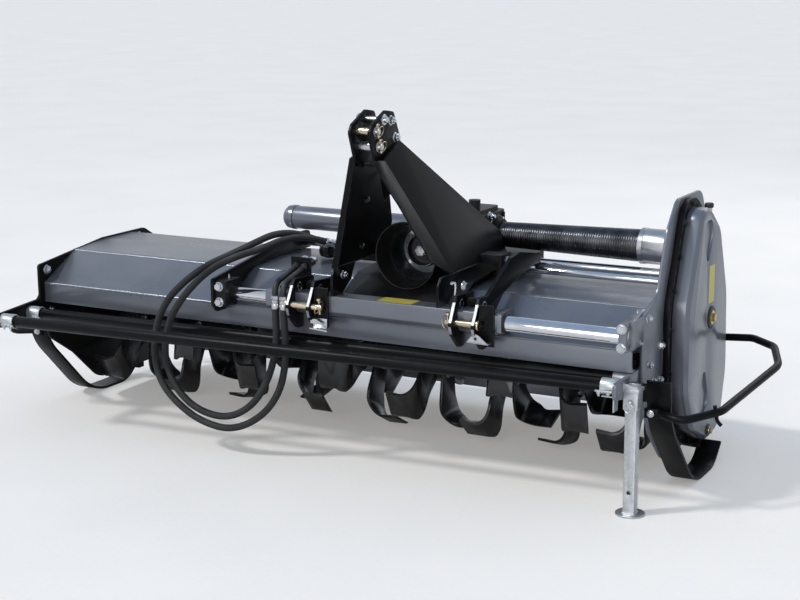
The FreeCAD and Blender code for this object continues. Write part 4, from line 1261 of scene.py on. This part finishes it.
@dataclass
class ClevisDetails:
    """Pins' heads and clips, bolts and rims of the top link ears."""

    middle_x: float = 313.0
    ear_face: float = 39.0
    # y, z and radius of each pin
    pins: list[Point] = field(default_factory=lambda: [
        (-482.0, 1160.0, 9.5), (-532.0, 1128.0, 9.5), (-515.0, 1080.0, 11.0),
    ])

    def build(self) -> None:
        """Make the clevis's small parts."""
        self.bright()
        self.clips()
        beads = Forge("clevis_weld_beads")
        for side in (-1, 1):
            x = self.middle_x + side * 40
            beads.bead([(x, -505, 1026), (x, -470, 1026), (x, -425, 1048)], 2.8)
            beads.bead([(self.middle_x + side * 46, -484, 1023), (self.middle_x + side * 46, -424, 1023)], 2.6)
        beads.finish(Finish.BLACK, "black_paint", "headstock")

    def bright(self) -> None:
        """Plated heads, nuts and spacer sleeves."""
        bright = Forge("clevis_bolts")
        for index, (y, z, radius) in enumerate(self.pins):
            face = self.middle_x + self.ear_face
            bright.ring((face, y, z), Axis.RIGHT, radius + 8, radius + 0.2, 2.5, 0.8)
            bright.ring((self.middle_x - self.ear_face, y, z), Axis.LEFT, radius + 7, radius + 0.2, 2.5, 0.8)
            if index == 0:
                bright.hexagon((self.middle_x - self.ear_face - 2.5, y, z), Axis.LEFT, 30, 11, 12)
        bright.bolt((self.middle_x + self.ear_face, -440, 1154), Axis.RIGHT, 15, 18, 6)
        bright.bolt((self.middle_x + self.ear_face, -412, 1100), Axis.RIGHT, 15, 40, 6)
        y, z, radius = self.pins[2]
        bright.lathe(
            (self.middle_x - 28, y, z), Axis.RIGHT,
            [(radius + 0.3, 0), (radius + 4, 0), (radius + 4, 56), (radius + 0.3, 56), (radius + 0.3, 0)],
        )
        bright.finish(Finish.ZINC, "galvanised", "headstock")

    def clips(self) -> None:
        """Two linchpins with sprung rings on the right ends of the lower pins."""
        clips = Forge("clevis_linchpins")
        for y, z, _ in self.pins[1:]:
            x = self.middle_x + self.ear_face + 7
            clips.disc((x, y - 3, z + 22), Vector((0, 0.1, -1)), 3.2, 42, 1)
            clips.lathe((x, y - 3, z + 18), Vector((0, 0.1, -1)), [(0, -8), (6, -7), (6.5, -3), (4, 0), (0, 1)], 14)
            tilt = Vector((0.4, -0.25, 0.88)).normalized()
            clips.wire(clips.arc((x + 4, y + 6, z), BACK, tilt, 19, 0, 335, 16), 2, closed=True)
        clips.finish(Finish.YELLOW_ZINC, "yellow_zinc", "headstock")
        worn = Forge("clevis_worn_sleeve")
        y, z, radius = self.pins[1]
        worn.lathe(
            (self.middle_x - 27, y, z), Axis.RIGHT,
            [(radius + 0.3, 0), (radius + 2, 0), (radius + 2, 54), (radius + 0.3, 54), (radius + 0.3, 0)],
        )
        worn.finish(Finish.YELLOW_ZINC, "yellow_zinc", "headstock")


@dataclass
class MastDetails:
    """Cross piece, bolts and seams of the two leaning plates."""

    middle_x: float = 313.0
    top_half: float = 64.5
    top_z: float = 1040.0
    lean: float = 0.35

    def face_x(self, side: int, z: float) -> float:
        """Outer face of a plate at a height."""
        return self.middle_x + side * (self.top_half + (self.top_z - z) * self.lean)

    def build(self) -> None:
        """Make the masts' small parts."""
        tab = Forge("mast_tab")
        tab.plate([(236, -306, 977), (276, -303, 905), (257, -297, 884), (246, -294, 877)], BACK * 6, 0.8)
        tab.finish(Finish.BLACK, "black_paint", "headstock")
        lip = Forge("mast_front_lip")
        rows = (
            (-588, 1044), (-546, 949), (-518, 905), (-468, 802), (-430, 720), (-340, 670), (-322, 676), (-522, 1040),
        )
        lip.plate([(self.face_x(1, z), y, z) for y, z in rows], ALONG * -8, 0.6)
        lip.finish(Finish.BLACK, "black_paint", "headstock")
        dots = Forge("mast_bolts")
        for y, z in ((-330, 884), (-262, 716)):
            x = self.face_x(-1, z) + 8
            dots.bolt((x, y, z), Axis.RIGHT, 11, 20, 3)
        dots.bolt((self.face_x(1, 742) - 8, -120, 742), Axis.LEFT, 11, 20, 3)
        dots.finish(Finish.SHADED_STEEL, "turned_steel", "headstock")
        beads = Forge("mast_weld_beads")
        beads.bead([(self.face_x(-1, 666) + 9, -400, 666), (self.face_x(-1, 666) + 9, -66, 666)], 3)
        beads.bead([(self.face_x(1, 666) + 1, -300, 666), (self.face_x(1, 666) + 1, 88, 666)], 3)
        beads.finish(Finish.SHADED_BLACK, "black_paint", "headstock")


@dataclass
class GearboxDetails:
    """Bolts, filler cap, ribs and flanges of the gearbox, and the rings inside the shield."""

    middle_x: float = 313.0
    drive_z: float = 698.0
    top_z: float = 806.0

    def build(self) -> None:
        """Make the gearbox's small parts."""
        bolts = Forge("gearbox_bolts")
        for x in (self.middle_x - 66, self.middle_x + 16):
            bolts.bolt((x, 4, self.top_z), Axis.UP, 8, x)
        for y in (98, 190):
            for z in (676, 762):
                bolts.bolt((self.middle_x + 130, y, z), Axis.RIGHT, 11, y + z)
                bolts.bolt((self.middle_x - 95, y, z), Axis.LEFT, 11, y + z)
        for angle in (35, 145, 215, 325):
            y = 144 + 46 * math.cos(math.radians(angle))
            z = 718 + 46 * math.sin(math.radians(angle))
            bolts.bolt((self.middle_x - 135, y, z), Axis.LEFT, 8, angle, 2)
        bolts.bolt((self.middle_x + 130, 92, 786), Axis.RIGHT, 14, 10, 12)
        bolts.finish(Finish.ZINC, "galvanised", "headstock")
        self.ribs()
        self.shield_rings()

    def ribs(self) -> None:
        """Cast ribs, bosses and flange rims."""
        ribs = Forge("gearbox_ribs")
        for y in (30, 90, 205):
            ribs.block((self.middle_x + 128, y - 4, 670), (self.middle_x + 137, y + 4, 786), 2.5)
            ribs.block((self.middle_x - 102, y - 4, 670), (self.middle_x - 93, y + 4, 786), 2.5)
        ribs.ring((self.middle_x + 130, 144, 718), Axis.RIGHT, 66, 52.5, 10, 3)
        ribs.ring((self.middle_x - 95, 144, 718), Axis.LEFT, 68, 54.5, 10, 3)
        ribs.ring((self.middle_x - 123, 144, 718), Axis.LEFT, 58, 42.5, 12, 3)
        ribs.finish(Finish.SHADED_BLACK, "black_paint", "headstock")
        clamp = Forge("side_tube_collar")
        clamp.ring((-370, 144, 718), Axis.RIGHT, 45, 42.3, 14, 1)
        clamp.ring((150, 144, 718), Axis.LEFT, 46, 42.3, 20, 1.5)
        clamp.finish(Finish.GRAPHITE, "graphite_paint", "headstock")

    def shield_rings(self) -> None:
        """Steel bell, seal and rim line inside the shield."""
        bell = Forge("input_bell")
        bell.lathe((self.middle_x, -125, self.drive_z), Axis.FRONT, [
            (83, 4), (84.5, 6), (94.6, 74), (92, 75), (79, 6), (58, 6), (58, 0), (83, 0), (83, 4),
        ], 48)
        bell.finish(Finish.SHADED_STEEL, "turned_steel", "headstock")
        hub = Forge("input_hub")
        hub.lathe((self.middle_x, -125, self.drive_z), Axis.FRONT, [
            (50, 6), (57, 6), (57, 30), (55, 33), (52, 33), (50, 30), (50, 6),
        ], 40)
        hub.finish(Finish.SHADED_STEEL, "turned_steel", "headstock")
        seal = Forge("input_seal")
        seal.ring((self.middle_x, -125.5, self.drive_z), Axis.FRONT, 51, 18.5, 9, 2)
        seal.ring((self.middle_x, -134.5, self.drive_z), Axis.FRONT, 34, 18.5, 8, 2)
        seal.finish(Finish.RUBBER, "black_paint", "headstock")
        rim = Forge("shield_rim")
        rows = rim.arc((self.middle_x, -272, self.drive_z), ALONG, UP, 109.5, 0, 360 * 47 / 48, 47)
        rim.wire(rows, 2.6, closed=True, sides=3)
        rim.finish(Finish.PLASTIC, "shield_plastic", "headstock")
        bolts = Forge("input_bell_bolts")
        for angle in (40, 130, 220, 310):
            x = self.middle_x + 69 * math.cos(math.radians(angle))
            z = self.drive_z + 69 * math.sin(math.radians(angle))
            bolts.bolt((x, -131, z), Axis.FRONT, 9, angle)
        bolts.finish(Finish.ZINC, "galvanised", "headstock")


@dataclass
class BeamDetails:
    """Blank film, bushes and rod wipers of the sliding beam and the chrome rods."""

    def build(self) -> None:
        """Make the beam's small parts."""
        film = Forge("beam_blank_film")
        film.plate([(284, -414, 574), (408, -414, 574), (408, -355, 574), (284, -355, 574)], UP * 0.5, 0.0)
        film.finish(Finish.STICKER, "yellow_zinc", "headstock")
        wipers = Forge("rod_wipers")
        for x, way in ((724, Axis.RIGHT), (-132, Axis.LEFT)):
            wipers.ring((x, -388, 540), way, 31, 25.3, 6, 2)
        for y, z, radius in ((135, 633, 15), (15, 632, 12.5)):
            wipers.ring((600, y, z), Axis.RIGHT, radius + 8, radius + 0.4, 14, 2)
        wipers.ring((120, 135, 633), Axis.LEFT, 23, 15.4, 14, 2)
        wipers.finish(Finish.RUBBER, "black_paint", "headstock")
        bands = Forge("bush_bands")
        bands.ring((973, 144, 718), Axis.RIGHT, 60, 58.2, 16, 1)
        bands.ring((1102, 144, 718), Axis.RIGHT, 66, 58.2, 26, 3)
        bands.finish(Finish.TURNED, "turned_steel", "frame")
        head = Forge("ram_head")
        head.ring((-165, 15, 632), Axis.LEFT, 25, 12, 9, 2)
        head.lathe((-165, 15, 632), Axis.RIGHT, [(23.3, 6), (27, 8), (27, 30), (23.3, 32), (23.3, 6)], 24)
        head.finish(Finish.SHADED_BLACK, "black_paint", "headstock")


@dataclass
class HoseEnds:
    """Crimped sleeves, nuts and nose rings of the hoses' fittings."""

    # end of each hose, and the direction of its first run
    ends: list[tuple[Point, Point, Point]] = field(default_factory=lambda: [
        ((-51, -442, 548), (-145, -16, 663), (-48, -72, 42)), ((-83, -442, 548), (-105, -16, 663), (-58, -72, 32)),
    ])
    slope: float = math.radians(14)
    rise: float = 53.0
    reach: float = 200.0

    def build(self) -> None:
        """Make both hoses' fittings."""
        ferrules = Forge("hose_ferrules")
        noses = Forge("coupler_noses")
        for end, start, way in self.ends:
            ferrules.lathe(end, Axis.DOWN, [
                (12.1, 0), (14, 1), (14, 12), (13.2, 14), (14, 16), (14, 30), (12.8, 32), (12.1, 32), (12.1, 0),
            ])
            ferrules.hexagon(tuple(Vector(end) + Vector((0, 0, 1))), Axis.UP, 24, 12, 7)
            first = Vector(way).normalized()
            ferrules.lathe(start, first, [
                (12.1, 2), (14, 3), (14, 16), (13.2, 18), (14, 20), (14, 34), (12.8, 36), (12.1, 36), (12.1, 2),
            ])
            ferrules.hexagon(tuple(Vector(start) - first * 14), first, 25, 13, 12)
            self.nose(noses, Vector(end))
        ferrules.finish(Finish.ZINC, "turned_steel", "headstock")
        noses.finish(Finish.TURNED, "turned_steel", "headstock")

    def nose(self, noses: Forge, end: Vector) -> None:
        """Bright collar and nose ring at a coupler's tip."""
        along = Vector((0, math.cos(self.slope), math.sin(self.slope)))
        tip = end + Vector((0, 0, self.rise)) + along * self.reach
        noses.lathe(tuple(tip - along * 2), along, [
            (14.3, -10), (15.5, -9), (15.5, 2), (13, 4), (9.5, 4), (9.5, -4), (5, -4), (4, -1), (0, 0),
        ], 24)
        noses.lathe(tuple(tip - along * 46), along, [(14.2, 0), (15.4, 1), (15.4, 7), (14.2, 8), (14.2, 0)], 24)


@dataclass
class SpiralCover:
    """Spring of wound strip over the side shaft; the real one closes up as the headstock slides, this one is a fixed
    shape.
    """

    start_x: float = 470.0
    end_x: float = 973.0
    axis_y: float = 144.0
    axis_z: float = 718.0
    start_radius: float = 43.0
    end_radius: float = 54.0
    lap: float = 0.6
    wall: float = 6.0
    turns: int = 60

    def build(self) -> None:
        """Wind the strip and hang it between the gearbox and the frame's bush."""
        cover = Forge("spiral_spring_cover")
        pitch = (self.end_x - self.start_x) / self.turns
        profile = [(self.start_radius - self.wall, 0.0)]
        for turn in range(self.turns):
            radius = self.start_radius + (self.end_radius - self.start_radius) * turn / (self.turns - 1)
            profile.append((radius - self.lap, turn * pitch))
            profile.append((radius - self.lap * 0.1, (turn + 0.93) * pitch))
            profile.append((radius - self.lap * 0.5, (turn + 1) * pitch))
        profile += [(self.start_radius - self.wall, self.end_x - self.start_x), profile[0]]
        cover.lathe((self.start_x, self.axis_y, self.axis_z), Axis.RIGHT, profile, 64)
        piece = cover.finish(Finish.SPRING, "spring_steel", None)
        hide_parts("spiral_cover")
        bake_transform(piece)


DETAILS = (
    SpiralCover, FrameFasteners, DriveCase, GuardDetails, StandDetails, RotorBolts, HitchDetails, ClevisDetails, MastDetails,
    GearboxDetails, BeamDetails, HoseEnds,
)


@dataclass
class Studio:
    """Pale floor, soft lamps and the camera at the photograph's angle."""

    azimuth: float = 28.17
    pitch: float = 12.19
    roll: float = 0.30
    lens: float = 70.5
    place: tuple[float, float, float] = (2660.0, -4694.0, 1633.0)
    floor_size: float = 60.0
    floor_lift: float = 0.24
    key_power: float = 1.5
    sky_power: float = 0.5
    wall_power: float = 0.82

    def build(self) -> None:
        """Set up the whole studio."""
        self.camera()
        self.floor()
        self.lamps()
        bpy.context.scene.view_settings.view_transform = "Standard"

    def camera(self) -> None:
        """Place the camera as the photograph was taken."""
        azimuth, pitch, roll = (math.radians(v) for v in (self.azimuth, self.pitch, self.roll))
        level = math.cos(pitch)
        ahead = Vector((-math.sin(azimuth) * level, math.cos(azimuth) * level, -math.sin(pitch)))
        data = bpy.data.cameras.new("camera")
        data.lens = self.lens
        data.sensor_width = 36.0
        data.clip_end = 200.0
        camera = bpy.data.objects.new("camera", data)
        bpy.context.scene.collection.objects.link(camera)
        camera.location = at(*self.place)
        camera.rotation_mode = "QUATERNION"
        camera.rotation_quaternion = ahead.to_track_quat("-Z", "Y") @ Quaternion((0.0, 0.0, 1.0), -roll)
        bpy.context.scene.camera = camera

    def floor(self) -> None:
        """Lay the pale concrete floor."""
        mesh = bpy.data.meshes.new("floor")
        sheet_mesh = bmesh.new()
        bmesh.ops.create_grid(sheet_mesh, x_segments=1, y_segments=1, size=self.floor_size)
        sheet_mesh.to_mesh(mesh)
        sheet_mesh.free()
        floor = bpy.data.objects.new("floor", mesh)
        bpy.context.scene.collection.objects.link(floor)
        material, sheet = blank_material("pale_floor")
        place = sheet.add("TexCoord").outputs["Object"]
        cloud = sheet.add("TexNoise", {"Vector": place, "Scale": 1.3, "Detail": 6.0}).outputs[0]
        fine = sheet.add("TexNoise", {"Vector": place, "Scale": 60.0, "Detail": 4.0}).outputs[0]
        tone = sheet.math("ADD", sheet.math("MULTIPLY", cloud, 0.7), sheet.math("MULTIPLY", fine, 0.3))
        colour = sheet.mix(sheet.span(tone, 0.35, 0.65), rgba((0.72, 0.69, 0.65)), rgba((0.78, 0.75, 0.705)))
        bump = sheet.add("Bump", {"Height": fine, "Strength": 0.1, "Distance": 0.002})
        seen = sheet.add("LightPath").outputs["Is Camera Ray"]
        close_material(sheet, {
            "Base Color": colour, "Roughness": 0.85, "Normal": bump.outputs[0],
            "Emission Color": rgba((0.96, 0.94, 0.92)),
            "Emission Strength": sheet.math("MULTIPLY", seen, self.floor_lift),
        })
        mesh.materials.append(material)

    def lamps(self) -> None:
        """Hang the soft lamps and set the world."""
        # name, kind, place, aim, size in metres or degrees, power
        rows = [
            ("key", "SUN", (-3.4, -3.0, 5.2), (0.0, 0.0, 0.5), 7.0, self.key_power),
            ("front", "AREA", (2.0, -14.0, 5.4), (0.2, 0.0, 0.5), 9.0, 540.0),
            ("back", "AREA", (1.5, 5.5, 4.5), (0.0, 0.0, 0.6), 4.0, 60.0),
        ]
        for name, kind, place, aim, size, power in rows:
            data = bpy.data.lights.new(name, kind)
            if kind == "SUN":
                data.angle = math.radians(size)
            else:
                data.shape = "DISK"
                data.size = size
            data.energy = power
            lamp = bpy.data.objects.new(name, data)
            bpy.context.scene.collection.objects.link(lamp)
            lamp.location = place
            lamp.rotation_mode = "QUATERNION"
            lamp.rotation_quaternion = (Vector(aim) - Vector(place)).to_track_quat("-Z", "Y")
        world = bpy.data.worlds.new("soft_sky")
        bpy.context.scene.world = world
        world.use_nodes = True
        sheet = Sheet(world.node_tree)
        up = sheet.add("SeparateXYZ", {0: sheet.add("TexCoord").outputs["Generated"]}).outputs[2]
        tone = sheet.mix(sheet.span(up, 0.0, 0.9), rgba((1.3, 1.3, 1.32)), rgba((0.5, 0.7, 1.0)))
        sky = sheet.add("Background", {"Color": tone, "Strength": self.sky_power})
        wall = sheet.add("Background", {"Color": rgba((0.98, 0.985, 1.0)), "Strength": self.wall_power})
        seen = sheet.add("LightPath").outputs["Is Camera Ray"]
        both = sheet.add("MixShader", {0: seen, 1: sky.outputs[0], 2: wall.outputs[0]})
        sheet.add("OutputWorld", {"Surface": both.outputs[0]})


def main() -> None:
    """Build the looks in order."""
    logging.basicConfig(level=logging.INFO, format="%(name)s %(message)s")
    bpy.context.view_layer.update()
    SolidDress().build()
    Hoses().build()
    for details in DETAILS:
        details().build()
    Studio().build()


if __name__ == "__main__":
    main()
